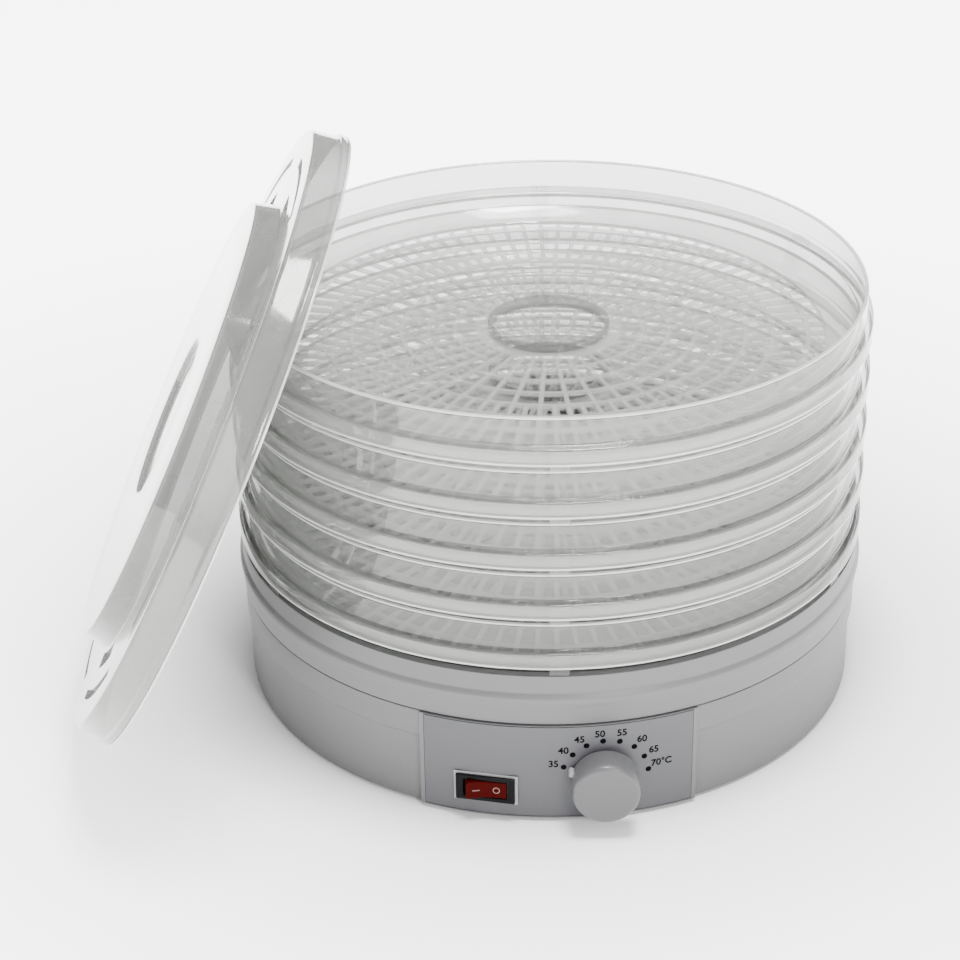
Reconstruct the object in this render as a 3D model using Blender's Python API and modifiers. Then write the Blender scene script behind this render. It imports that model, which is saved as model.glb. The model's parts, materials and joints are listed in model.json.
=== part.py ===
"""Round food dehydrator: heated fan base, five stacking mesh trays and a vented lid leaning on the stack.

Sizes are in millimetres and angles in degrees; MM turns lengths into metres.
The stack's axis is Z, its feet stand on z = 0 and its control panel faces -Y.
Angles round the stack are measured from +X towards +Y.
"""
import math

import bmesh
import bpy
from mathutils import Matrix, Vector

MM = 0.001

# ---- Facets and clearances -----------------------------------------------------------------
ROUND_SEGMENTS = 32         # large turned parts about the stack's axis
TRAY_SEGMENTS = 24
MEDIUM_SEGMENTS = 20
SMALL_SEGMENTS = 12
FLAT_ANGLE = 0.05           # faces this close to level with one another are one face
GAP = 0.3                   # between pieces that rest on or sit in one another
RUNNING_GAP = 0.1           # radial, between a turning shaft and its bore

# ---- Base ----------------------------------------------------------------------------------
STACK_R = 165.0             # outside of the trays' skirts; the round parts follow it
BODY_R = STACK_R - 2.8      # outside of the lower wall
STRIP_R = STACK_R - 1.2     # band along the lower wall's top
WALL = 2.8
HOUSING_BOTTOM_Z = 1.5
STRIP_BOTTOM_Z = 41.0
SEAM_Z = 56.5               # joint between lower housing and top cover
LEDGE_WIDTH = 4.4           # ledge that holds the bottom cover
LEDGE_THICKNESS = 2.5
COVER_Z = 4.0               # underside of the bottom cover
COVER_THICKNESS = 2.5
REST_PAD_R = 31.0           # flat pad in the middle of the cover, level with the feet

BEAD_R = STACK_R + 0.8
BEAD_Z = 70.3
NECK_R = STACK_R - 0.8      # wall between the bead and the first tray
BASE_RIM_Z = 84.2           # edge the first tray stands on
DECK_Z = 74.0               # top of the deck under the trays
DECK_THICKNESS = 2.4

SHROUD_R = 58.0             # air duct in the middle of the deck
SHROUD_WALL = 4.0
SHROUD_DROP = 4.0           # its lower end below the fan, and its step above it
SHROUD_STEP = 2.0           # the duct is this much narrower round the fan
GUARD_LIP = 2.4
GUARD_THICKNESS = 2.0

POST_CIRCLE_R = STACK_R - 25.0    # screw posts
POST_ANGLES = (65, 155, 245, 335)
POST_R = 5.0
SCREW_R = 1.9
SCREW_LENGTH = 18.0
SCREW_HEAD_R = 3.6
SCREW_HEAD = 1.7

FOOT_ANGLES = (45, 135, 225, 315)
FOOT_CIRCLE_R = STACK_R - 29.0
FOOT_R = 9.0
FOOT_NECK_R = 3.6
FOOT_BARB_R = 5.0

INTAKE_SLOTS = 12
INTAKE_INNER_R = 62.0
INTAKE_OUTER_R = 104.0
INTAKE_SLOT_SPAN = 14.0

# ---- Control panel, seated in a raised block on the front ----------------------------------
BLOCK_HALF_ANGLE = 24.4
BLOCK_R = STACK_R
BLOCK_BOTTOM_Z = 1.9
BLOCK_TOP_Z = 56.0
PANEL_HALF_ANGLE = 23.5
PANEL_R = STACK_R + 0.1
PANEL_THICKNESS = 1.6
PANEL_BOTTOM_Z = 3.0
PANEL_TOP_Z = 55.3

SWITCH_ANGLE = -12.6        # round the stack from the front's middle
SWITCH_Z = 18.2
BEZEL_LENGTH = 29.6
BEZEL_HEIGHT = 14.4
BEZEL_THICKNESS = 1.6
SWITCH_LENGTH = BEZEL_LENGTH - 2.4
SWITCH_HEIGHT = BEZEL_HEIGHT - 2.2
SWITCH_DEPTH = 21.0
SWITCH_TABS = (-8.0, 0.0, 8.0)
TAB_LENGTH = 7.0
TAB_WIDTH = 4.8
TAB_THICKNESS = 0.8
ROCKER_HALF_LENGTH = BEZEL_LENGTH / 2 - 4.8
ROCKER_HEIGHT = BEZEL_HEIGHT - 5.3
POCKET_HALF_LENGTH = ROCKER_HALF_LENGTH + 0.9
POCKET_HEIGHT = ROCKER_HEIGHT + 0.8
POCKET_DEPTH = 11.0
ROCKER_TILT = 11.0          # each way from level
ROCKER_PIVOT_DEPTH = 3.0    # behind the bezel's face

KNOB_X = 22.3
KNOB_Z = 25.7
KNOB_R = 16.8
KNOB_LENGTH = 15.0
KNOB_CLEARANCE = 0.6        # between the panel and the knob's open end
KNOB_WALL = 2.0
KNOB_HUB_R = 6.0
POINTER_ANGLE = 161.0       # at the lowest mark, seen from the front
POINTER_REACH = 1.6         # past the knob's rim
POINTER_WIDTH = 1.6
POINTER_LENGTH = 4.0
SHAFT_R = 3.0
BUSHING_R = 4.9
NUT_R = 7.4
NUT_THICKNESS = 2.0
THERMOSTAT_R = 13.5
THERMOSTAT_DEPTH = 15.0

# ---- Fan and heater ------------------------------------------------------------------------
MOTOR_R = 26.0
MOTOR_HEIGHT = 21.0
MOTOR_SHAFT_R = 2.0
MOTOR_SHAFT_TIP = 2.0       # above the fan's hub
BRACKET_Z = 12.0
BRACKET_THICKNESS = 2.0
BRACKET_POST_CIRCLE_R = 47.0
BRACKET_POST_R = 4.0
BRACKET_MARGIN = 2.0        # the bracket's disc past the motor
BRACKET_HOLE_R = 10.0
BRACKET_ARM_WIDTH = 9.0
BRACKET_ANGLES = (90, 210, 330)
MOTOR_SCREW_R = 1.5
FAN_BLADES = 6
FAN_R = 53.0
FAN_HUB_R = 13.0
FAN_LIFT = 4.7              # fan's hub above the motor
FAN_HUB_HEIGHT = 10.0
BLADE_PITCH = 28.0
BLADE_CHORD = 17.0
BLADE_THICKNESS = 1.6
HEATER_PLATE = 1.4
HEATER_HEADROOM = 6.5       # from the boards' top to the guard
HEATER_RING = 3.0           # width and height of the ring round the crossed boards
COIL_RING_R = 40.0
COIL_R = 2.4
FUSE_R = 1.9
FUSE_LENGTH = 14.0

LEAD_R = 1.2
SWITCH_TAB_STEP = 3.3       # degrees round the stack between the switch's connected tabs

INLET_Z = 22.0
INLET_HOLE_R = 6.3
INLET_BORE_R = 3.6
TERMINAL_Y = 119.0          # middle of the terminal block, and half sizes of it and of its well
TERMINAL_HALF = (16.0, 7.0)
TERMINAL_HEIGHT = 12.0
WELL_HALF = (13.0, 4.0)
WELL_FLOOR = 7.0

# ---- Trays ---------------------------------------------------------------------------------
TRAY_COUNT = 5
TRAY_PITCH = 27.4
TRAY_LUG_DROP = 4.1         # a tray's skirt ends this far above the rim it stands over
SKIRT_R = STACK_R
SKIRT_HEIGHT = 9.0
COLLAR_R = STACK_R - 3.3
TRAY_WALL = 1.8
TRAY_RIM_HEIGHT = TRAY_PITCH - TRAY_LUG_DROP    # rim above the skirt's lower edge
BASKET_R = STACK_R - 6.4
FLOOR_DROP = 6.4            # top of the floor below the skirt's lower edge
FLOOR_THICKNESS = 2.0
FLOOR_CORNER = 6.4
FLOOR_GAP = 0.1             # between a tray's floor, wall and ring, which are one moulding
CENTRE_HOLE_R = 29.5
CENTRE_RING_HEIGHT = 4.3
MESH_INNER_R = 44.0
MESH_MIDDLE_R = 91.0
MESH_OUTER_R = BASKET_R - 16.1
MESH_OPENINGS = 12
MESH_RIB = 6.0
LUG_ANGLES = (30, 90, 150, 210, 270, 330)
LUG_WIDTH = 10.0
LUG_TONGUE_R = BASKET_R + 0.2
LUG_TONGUE_DROP = 10.0
LUG_TONGUE_TAPER = 0.7

# ---- Lid -----------------------------------------------------------------------------------
LID_R = STACK_R + 0.3
LID_EDGE_BAND = 4.5
LID_WALL = 2.0
LID_SKIRT_R = LID_R - 1.9
LID_TOP_R = LID_R - 4.4
LID_DEPTH = 18.5
LID_DOME_R = LID_R - 48.3
LID_DOME_FOOT = 3.0
LID_DOME_HEIGHT = 12.5
LID_DISH_R = 43.0
LID_DISH_DEPTH = 3.0
LID_SLOTS = 8
LID_SLOT_R = LID_R - 20.3
LID_SLOT_WIDTH = 5.0
LID_SLOT_SPAN = 30.0
LID_INNER_SLOT_R = LID_R - 38.3
LID_INNER_SLOT_WIDTH = 8.0
LID_INNER_SLOT_SPAN = 16.0
LID_LEAN = 64.8             # of the lid's plane from the floor
LID_Y = -39.0               # middle of the lid's open edge
LID_STACK_GAP = 0.4         # between the lid's inside and the rims that it leans on

FRONT = -90.0               # direction of the panel's middle


# ---- Collections and materials -------------------------------------------------------------
def clear_scene():
    for obj in list(bpy.data.objects):
        bpy.data.objects.remove(obj, do_unlink=True)


def new_collection(name):
    collection = bpy.data.collections.new(name)
    bpy.context.scene.collection.children.link(collection)
    return collection


clear_scene()
PARTS = new_collection("food_dehydrator")
CUTTERS = new_collection("cutters")


def make_material(name, colour, roughness, metallic=0.0, alpha=1.0):
    material = bpy.data.materials.new(name)
    material.use_nodes = True
    shader = material.node_tree.nodes["Principled BSDF"]
    shader.inputs["Base Color"].default_value = (*colour, 1.0)
    shader.inputs["Roughness"].default_value = roughness
    shader.inputs["Metallic"].default_value = metallic
    shader.inputs["Alpha"].default_value = alpha
    return material


GREY_PLASTIC = make_material("grey_plastic", (0.62, 0.62, 0.62), 0.38)
PANEL_PLASTIC = make_material("panel_plastic", (0.45, 0.45, 0.48), 0.45)
KNOB_PLASTIC = make_material("knob_plastic", (0.62, 0.62, 0.62), 0.35)
CLEAR_PLASTIC = make_material("clear_plastic", (0.86, 0.88, 0.86), 0.12, alpha=0.35)
BLACK_PLASTIC = make_material("black_plastic", (0.02, 0.02, 0.02), 0.4)
RED_PLASTIC = make_material("red_plastic", (0.7, 0.03, 0.02), 0.25)
RUBBER = make_material("rubber", (0.05, 0.05, 0.05), 0.8)
STEEL = make_material("steel", (0.6, 0.6, 0.6), 0.3, metallic=1.0)
BRASS = make_material("brass", (0.75, 0.6, 0.3), 0.3, metallic=1.0)
MICA = make_material("mica", (0.7, 0.62, 0.45), 0.6)
NICHROME = make_material("nichrome", (0.45, 0.42, 0.4), 0.35, metallic=1.0)
WHITE_PLASTIC = make_material("white_plastic", (0.8, 0.8, 0.78), 0.5)
WIRE_RED = make_material("wire_red", (0.55, 0.05, 0.04), 0.5)
WIRE_BLUE = make_material("wire_blue", (0.05, 0.12, 0.45), 0.5)


# ---- Geometry helpers ----------------------------------------------------------------------
def polar(radius, angle, z=0.0):
    """A point in millimetres at an angle round the stack's axis."""
    turn = math.radians(angle)
    return Vector((radius * math.cos(turn), radius * math.sin(turn), z))


def bore_radius(radius, segments):
    """Corner radius of a faceted bore that clears a round of this radius."""
    return radius / math.cos(math.pi / segments)


def flat_behind(radius, reach):
    """Distance from the axis of a flat, this wide from the middle, that clears a faceted wall's inside."""
    return math.sqrt((radius * math.cos(math.pi / ROUND_SEGMENTS)) ** 2 - reach ** 2) - GAP


def shade_round(mesh):
    mesh.shade_smooth()
    mesh.set_sharp_from_angle(angle=math.radians(30))


def new_object(name, mesh, material=None, collection=None):
    obj = bpy.data.objects.new(name, mesh)
    (collection or PARTS).objects.link(obj)
    if material:
        mesh.materials.append(material)
    if collection is CUTTERS:
        obj.hide_render = True
        obj.display_type = "WIRE"
    return obj


def turned(name, outline, material=None, segments=ROUND_SEGMENTS, closed=True, collection=None):
    """Solid turned about Z from (radius, height) pairs that run down the outside first."""
    mesh = bpy.data.meshes.new(name)
    points = [(radius * MM, 0.0, height * MM) for radius, height in outline]
    edges = [(i, i + 1) for i in range(len(points) - 1)]
    if closed:
        edges.append((len(points) - 1, 0))
    mesh.from_pydata(points, edges, [])
    obj = new_object(name, mesh, material, collection)
    screw = obj.modifiers.new("Turn", "SCREW")
    screw.axis = "Z"
    screw.steps = screw.render_steps = segments
    screw.use_merge_vertices = True
    screw.merge_threshold = 0.00001
    return obj


def cylinder(name, radius, bottom, top, material=None, segments=SMALL_SEGMENTS, collection=None):
    mesh = bpy.data.meshes.new(name)
    shape = bmesh.new()
    bmesh.ops.create_cone(shape, cap_ends=True, segments=segments, radius1=radius * MM,
                          radius2=radius * MM, depth=(top - bottom) * MM)
    bmesh.ops.translate(shape, verts=shape.verts, vec=(0, 0, (top + bottom) / 2 * MM))
    shape.to_mesh(mesh)
    shape.free()
    return new_object(name, mesh, material, collection)


def box(name, low, high, material=None, collection=None):
    mesh = bpy.data.meshes.new(name)
    shape = bmesh.new()
    bmesh.ops.create_cube(shape, size=1.0)
    low, high = Vector(low), Vector(high)
    size, middle = high - low, (high + low) / 2
    bmesh.ops.scale(shape, verts=shape.verts, vec=size * MM)
    bmesh.ops.translate(shape, verts=shape.verts, vec=middle * MM)
    shape.to_mesh(mesh)
    shape.free()
    return new_object(name, mesh, material, collection)


def plate(name, outlines, bottom, top, material=None, collection=None):
    """Flat solid from closed (x, y) outlines; an outline inside another is a hole."""
    curve = bpy.data.curves.new(name, "CURVE")
    curve.dimensions = "2D"
    curve.fill_mode = "BOTH"
    curve.extrude = (top - bottom) / 2 * MM
    for outline in outlines:
        spline = curve.splines.new("POLY")
        spline.points.add(len(outline) - 1)
        spline.use_cyclic_u = True
        for point, (x, y) in zip(spline.points, outline):
            point.co = (x * MM, y * MM, 0.0, 1.0)
    return curve_to_mesh(name, curve, material, collection, lift=(top + bottom) / 2)


def tube(name, points, radius, material=None, resolution=1):
    """Round wire through points in millimetres."""
    curve = bpy.data.curves.new(name, "CURVE")
    curve.dimensions = "3D"
    curve.bevel_depth = radius * MM
    curve.bevel_resolution = resolution
    curve.use_fill_caps = True
    spline = curve.splines.new("POLY")
    spline.points.add(len(points) - 1)
    for point, place in zip(spline.points, points):
        point.co = (*(Vector(place) * MM), 1.0)
    return curve_to_mesh(name, curve, material, None)


def curve_to_mesh(name, curve, material, collection, lift=0.0):
    """The curve's solid as a welded mesh object, in the curve's place."""
    source = bpy.data.objects.new(name + "_curve", curve)
    source.location.z = lift * MM
    PARTS.objects.link(source)
    bpy.context.view_layer.update()
    evaluated = source.evaluated_get(bpy.context.evaluated_depsgraph_get())
    mesh = bpy.data.meshes.new_from_object(evaluated)
    mesh.name = name
    shape = bmesh.new()
    shape.from_mesh(mesh)
    bmesh.ops.remove_doubles(shape, verts=shape.verts, dist=0.000001)
    bmesh.ops.recalc_face_normals(shape, faces=shape.faces)
    bmesh.ops.transform(shape, matrix=source.matrix_world, verts=shape.verts)
    shape.to_mesh(mesh)
    shape.free()
    bpy.data.objects.remove(source)
    return new_object(name, mesh, material, collection)


def sector(inner, outer, start, end, step=4.7):
    """Closed outline of a ring's sector, with its arcs in equal steps."""
    count = max(1, round((end - start) / step))
    angles = [start + (end - start) * i / count for i in range(count + 1)]
    outside = [polar(outer, angle).xy for angle in angles]
    inside = [polar(inner, angle).xy for angle in reversed(angles)]
    return outside + inside


def circle(radius, segments=ROUND_SEGMENTS, centre=(0.0, 0.0)):
    middle = Vector(centre)
    return [middle + polar(radius, 360 * i / segments).xy for i in range(segments)]


def straight_slot(inner, outer, angle, width):
    """Closed outline of a radial opening with parallel sides of this width at its middle."""
    half = math.degrees(width / 2 / ((inner + outer) / 2))
    corners = ((outer, angle - half), (outer, angle + half), (inner, angle + half), (inner, angle - half))
    return [polar(radius, turn).xy for radius, turn in corners]


def place(obj, location=(0, 0, 0), turn=(0, 0, 0)):
    obj.location = Vector(location) * MM
    obj.rotation_euler = [math.radians(angle) for angle in turn]
    return obj


def bake(obj):
    """Puts an object's modifiers and transform into its mesh."""
    bpy.context.view_layer.update()
    evaluated = obj.evaluated_get(bpy.context.evaluated_depsgraph_get())
    mesh = bpy.data.meshes.new_from_object(evaluated)
    mesh.transform(obj.matrix_world)
    obj.modifiers.clear()
    obj.data = mesh
    obj.matrix_world = Matrix.Identity(4)
    return obj


def combine(obj, other, operation):
    """Boolean of two solids; the second becomes a hidden cutter."""
    modifier = obj.modifiers.new(operation.title(), "BOOLEAN")
    modifier.operation = operation
    modifier.solver = "EXACT"
    modifier.object = other
    return obj


def cut(obj, cutter):
    return combine(obj, cutter, "DIFFERENCE")


def join(obj, addition):
    return combine(obj, addition, "UNION")


def merge_flats(obj):
    """Bakes an object and joins the faces that lie in one plane."""
    bake(obj)
    shape = bmesh.new()
    shape.from_mesh(obj.data)
    bmesh.ops.remove_doubles(shape, verts=shape.verts, dist=0.000001)
    bmesh.ops.dissolve_limit(shape, angle_limit=math.radians(FLAT_ANGLE), verts=shape.verts,
                             edges=shape.edges)
    bmesh.ops.triangulate(shape, faces=shape.faces)
    shape.to_mesh(obj.data)
    shape.free()
    return obj


# ---- Derived places ------------------------------------------------------------------------
COVER_TOP_Z = COVER_Z + COVER_THICKNESS
LEDGE_Z = COVER_TOP_Z + GAP
COVER_R = BODY_R - WALL - 0.5
HOUSING_TOP_Z = SEAM_Z - GAP
DECK_UNDERSIDE_Z = DECK_Z - DECK_THICKNESS
COLLAR_BORE_R = COLLAR_R - TRAY_WALL
FIRST_TRAY_Z = BASE_RIM_Z + TRAY_LUG_DROP
FLOOR_BORE_R = BASKET_R - FLOOR_CORNER - 1.2
PANEL_BACK_R = PANEL_R - PANEL_THICKNESS
BEZEL_BACK_R = PANEL_R + GAP
BEZEL_FRONT_R = BEZEL_BACK_R + BEZEL_THICKNESS
MOTOR_BOTTOM_Z = BRACKET_Z + BRACKET_THICKNESS + GAP
FAN_BOTTOM_Z = MOTOR_BOTTOM_Z + MOTOR_HEIGHT + FAN_LIFT
FAN_TOP_Z = FAN_BOTTOM_Z + FAN_HUB_HEIGHT
SHROUD_BOTTOM_Z = FAN_BOTTOM_Z - SHROUD_DROP
SHROUD_STEP_Z = FAN_TOP_Z + SHROUD_DROP
HEATER_HEIGHT = DECK_Z - GUARD_THICKNESS - HEATER_HEADROOM - SHROUD_STEP_Z


def tray_z(index):
    """Height of a tray's skirt edge; the lowest tray is number 1."""
    return FIRST_TRAY_Z + TRAY_PITCH * (index - 1)


# ---- Base ----------------------------------------------------------------------------------
def build_housing():
    bore = BODY_R - WALL
    step = STRIP_R - BODY_R
    housing = turned("base_housing", [
        (STRIP_R, HOUSING_TOP_Z), (STRIP_R, STRIP_BOTTOM_Z), (BODY_R, STRIP_BOTTOM_Z - step),
        (BODY_R, HOUSING_BOTTOM_Z), (bore, HOUSING_BOTTOM_Z), (bore, LEDGE_Z),
        (bore - LEDGE_WIDTH, LEDGE_Z), (bore - LEDGE_WIDTH, LEDGE_Z + LEDGE_THICKNESS),
        (bore, LEDGE_Z + LEDGE_THICKNESS), (bore, HOUSING_TOP_Z)], GREY_PLASTIC)
    block = plate("panel_block", [sector(bore + WALL / 2, BLOCK_R, FRONT - BLOCK_HALF_ANGLE,
                                         FRONT + BLOCK_HALF_ANGLE)],
                  BLOCK_BOTTOM_Z, BLOCK_TOP_Z, collection=CUTTERS)
    recess_half = PANEL_HALF_ANGLE + math.degrees(GAP / PANEL_R)
    recess = plate("panel_recess", [sector(PANEL_BACK_R - GAP, BLOCK_R + 5, FRONT - recess_half,
                                           FRONT + recess_half)],
                   PANEL_BOTTOM_Z - GAP, PANEL_TOP_Z + GAP, collection=CUTTERS)
    inlet = place(cylinder("inlet_hole", INLET_HOLE_R, -10, 10, segments=MEDIUM_SEGMENTS,
                           collection=CUTTERS), (0, BODY_R, INLET_Z), (90, 0, 0))
    join(housing, block)
    for cutter in (recess, inlet, *panel_cutters("housing")):
        cut(housing, cutter)
    merge_flats(housing)


def panel_cutters(owner):
    """Openings for the switch and the thermostat through the front wall or the panel."""
    half_length = SWITCH_LENGTH / 2 + GAP
    half_height = SWITCH_HEIGHT / 2 + GAP
    window = box(owner + "_switch_window", (-half_length, -BLOCK_R - 5, -half_height),
                 (half_length, -BODY_R + WALL + 15, half_height), collection=CUTTERS)
    place(window, (0, 0, SWITCH_Z), (0, 0, SWITCH_ANGLE))
    hole = cylinder(owner + "_shaft_hole", bore_radius(BUSHING_R + GAP, MEDIUM_SEGMENTS), -20, 20,
                    segments=MEDIUM_SEGMENTS, collection=CUTTERS)
    place(hole, (KNOB_X, -BODY_R, KNOB_Z), (90, 0, 0))
    return window, hole


def build_panel():
    panel = plate("control_panel", [sector(PANEL_BACK_R, PANEL_R, FRONT - PANEL_HALF_ANGLE,
                                           FRONT + PANEL_HALF_ANGLE)],
                  PANEL_BOTTOM_Z, PANEL_TOP_Z, PANEL_PLASTIC)
    for cutter in panel_cutters("panel"):
        cut(panel, cutter)
    merge_flats(panel)


def build_top_cover():
    shroud_outer = SHROUD_R + SHROUD_WALL
    lip = SHROUD_R + GUARD_LIP
    cover = turned("top_cover", [
        (NECK_R, BASE_RIM_Z), (NECK_R, BEAD_Z + 3.2), (BEAD_R, BEAD_Z + 1.0), (BEAD_R, BEAD_Z - 1.2),
        (STRIP_R + 0.3, SEAM_Z), (STRIP_R - WALL, SEAM_Z), (STRIP_R - WALL, DECK_UNDERSIDE_Z),
        (shroud_outer, DECK_UNDERSIDE_Z), (shroud_outer, SHROUD_BOTTOM_Z),
        (SHROUD_R - SHROUD_STEP, SHROUD_BOTTOM_Z), (SHROUD_R - SHROUD_STEP, SHROUD_STEP_Z),
        (SHROUD_R, SHROUD_STEP_Z), (SHROUD_R, DECK_Z - GUARD_THICKNESS - GAP),
        (lip, DECK_Z - GUARD_THICKNESS - GAP), (lip, DECK_Z),
        (COLLAR_BORE_R, DECK_Z), (COLLAR_BORE_R, BASE_RIM_Z)], GREY_PLASTIC)
    for number, angle in enumerate(POST_ANGLES, 1):
        post = cylinder(f"post_{number}", POST_R, LEDGE_Z, DECK_UNDERSIDE_Z + DECK_THICKNESS / 2,
                        collection=CUTTERS)
        bore = cylinder(f"post_bore_{number}", bore_radius(SCREW_R + GAP, SMALL_SEGMENTS), 0,
                        COVER_Z + SCREW_LENGTH + 2, collection=CUTTERS)
        for piece in (post, bore):
            place(piece, polar(POST_CIRCLE_R, angle))
        join(cover, post)
        cut(cover, bore)
    merge_flats(cover)


def build_bottom_cover():
    pad_wall = COVER_THICKNESS
    cover = turned("bottom_cover", [
        (0, pad_wall), (REST_PAD_R - 3, pad_wall), (REST_PAD_R, COVER_TOP_Z), (COVER_R, COVER_TOP_Z),
        (COVER_R, COVER_Z), (REST_PAD_R + 3, COVER_Z), (REST_PAD_R, 0), (0, 0)],
        GREY_PLASTIC, closed=False)
    slots = [sector(INTAKE_INNER_R, INTAKE_OUTER_R, middle - INTAKE_SLOT_SPAN / 2,
                    middle + INTAKE_SLOT_SPAN / 2, step=INTAKE_SLOT_SPAN)
             for middle in (360 * (i + 0.5) / INTAKE_SLOTS for i in range(INTAKE_SLOTS))]
    foot_holes = [circle(bore_radius(FOOT_NECK_R + GAP, SMALL_SEGMENTS), SMALL_SEGMENTS,
                         polar(FOOT_CIRCLE_R, angle).xy) for angle in FOOT_ANGLES]
    screw_holes = [circle(bore_radius(SCREW_R + GAP, SMALL_SEGMENTS), SMALL_SEGMENTS,
                          polar(POST_CIRCLE_R, angle).xy) for angle in POST_ANGLES]
    holes = plate("bottom_openings", slots + foot_holes + screw_holes, COVER_Z - 3, COVER_TOP_Z + 3,
                  collection=CUTTERS)
    cut(cover, holes)
    for number, angle in enumerate(BRACKET_ANGLES, 1):
        post = cylinder(f"motor_post_{number}", BRACKET_POST_R, COVER_Z + COVER_THICKNESS / 2,
                        BRACKET_Z - GAP, collection=CUTTERS)
        bore = cylinder(f"motor_post_bore_{number}", bore_radius(MOTOR_SCREW_R + GAP, SMALL_SEGMENTS),
                        COVER_TOP_Z, BRACKET_Z, collection=CUTTERS)
        for piece in (post, bore):
            place(piece, polar(BRACKET_POST_CIRCLE_R, angle))
        join(cover, post)
        cut(cover, bore)
    merge_flats(cover)


def build_feet():
    for number, angle in enumerate(FOOT_ANGLES, 1):
        foot = turned(f"rubber_foot_{number}", [
            (0, COVER_TOP_Z + 3), (FOOT_NECK_R, COVER_TOP_Z + 3), (FOOT_BARB_R, COVER_TOP_Z + GAP),
            (FOOT_NECK_R, COVER_TOP_Z + GAP), (FOOT_NECK_R, COVER_Z - GAP), (FOOT_R, COVER_Z - GAP),
            (FOOT_R - 1, 0), (0, 0)], RUBBER, segments=SMALL_SEGMENTS, closed=False)
        place(foot, polar(FOOT_CIRCLE_R, angle))


def build_cover_screws():
    for number, angle in enumerate(POST_ANGLES, 1):
        top = COVER_Z + SCREW_LENGTH
        under = COVER_Z - GAP
        screw = turned(f"cover_screw_{number}", [
            (0, top), (SCREW_R * 0.5, top), (SCREW_R, top - 2), (SCREW_R, under),
            (SCREW_HEAD_R, under), (SCREW_HEAD_R - 0.6, under - SCREW_HEAD), (0, under - SCREW_HEAD)],
            STEEL, segments=SMALL_SEGMENTS, closed=False)
        place(screw, polar(POST_CIRCLE_R, angle))


# ---- Switch and thermostat -----------------------------------------------------------------
def build_switch():
    half_bezel = BEZEL_LENGTH / 2
    body = box("switch_body", (-SWITCH_LENGTH / 2, -BEZEL_BACK_R - BEZEL_THICKNESS / 2, -SWITCH_HEIGHT / 2),
               (SWITCH_LENGTH / 2, -BEZEL_FRONT_R + SWITCH_DEPTH, SWITCH_HEIGHT / 2), BLACK_PLASTIC)
    bezel = box("bezel", (-half_bezel, -BEZEL_FRONT_R, -BEZEL_HEIGHT / 2),
                (half_bezel, -BEZEL_BACK_R, BEZEL_HEIGHT / 2), collection=CUTTERS)
    pocket = box("pocket", (-POCKET_HALF_LENGTH, -BEZEL_FRONT_R - 5, -POCKET_HEIGHT / 2),
                 (POCKET_HALF_LENGTH, -BEZEL_FRONT_R + POCKET_DEPTH, POCKET_HEIGHT / 2),
                 collection=CUTTERS)
    join(body, bezel)
    cut(body, pocket)
    half_tab = TAB_THICKNESS / 2
    for index, x in enumerate(SWITCH_TABS, 1):
        tab = box(f"tab_{index}", (x - half_tab, -BEZEL_FRONT_R + SWITCH_DEPTH - 1, -TAB_WIDTH / 2),
                  (x + half_tab, -BEZEL_FRONT_R + SWITCH_DEPTH + TAB_LENGTH, TAB_WIDTH / 2),
                  collection=CUTTERS)
        join(body, tab)
    bake(body)
    place(body, (0, 0, SWITCH_Z), (0, 0, SWITCH_ANGLE))

    depth = ROCKER_PIVOT_DEPTH
    half = ROCKER_HALF_LENGTH
    outline = [(-half, -depth - 1.6), (0, -depth + 0.6), (half, -depth - 1.6), (half, 1.0),
               (3.0, 4.6), (0, 5.4), (-3.0, 4.6), (-half, 1.0)]
    rocker = plate("switch_rocker", [outline], -ROCKER_HEIGHT / 2, ROCKER_HEIGHT / 2, RED_PLASTIC)
    pivot = Matrix.Rotation(math.radians(SWITCH_ANGLE), 4, "Z") @ Vector((0, -BEZEL_FRONT_R + depth, 0))
    place(rocker, (pivot.x, pivot.y, SWITCH_Z), (0, 0, SWITCH_ANGLE + ROCKER_TILT))


def along_y(obj, y=0.0):
    """Stands a solid turned about Z along -Y, on the thermostat's axis."""
    return place(obj, (KNOB_X, y, KNOB_Z), (90, 0, 0))


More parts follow.
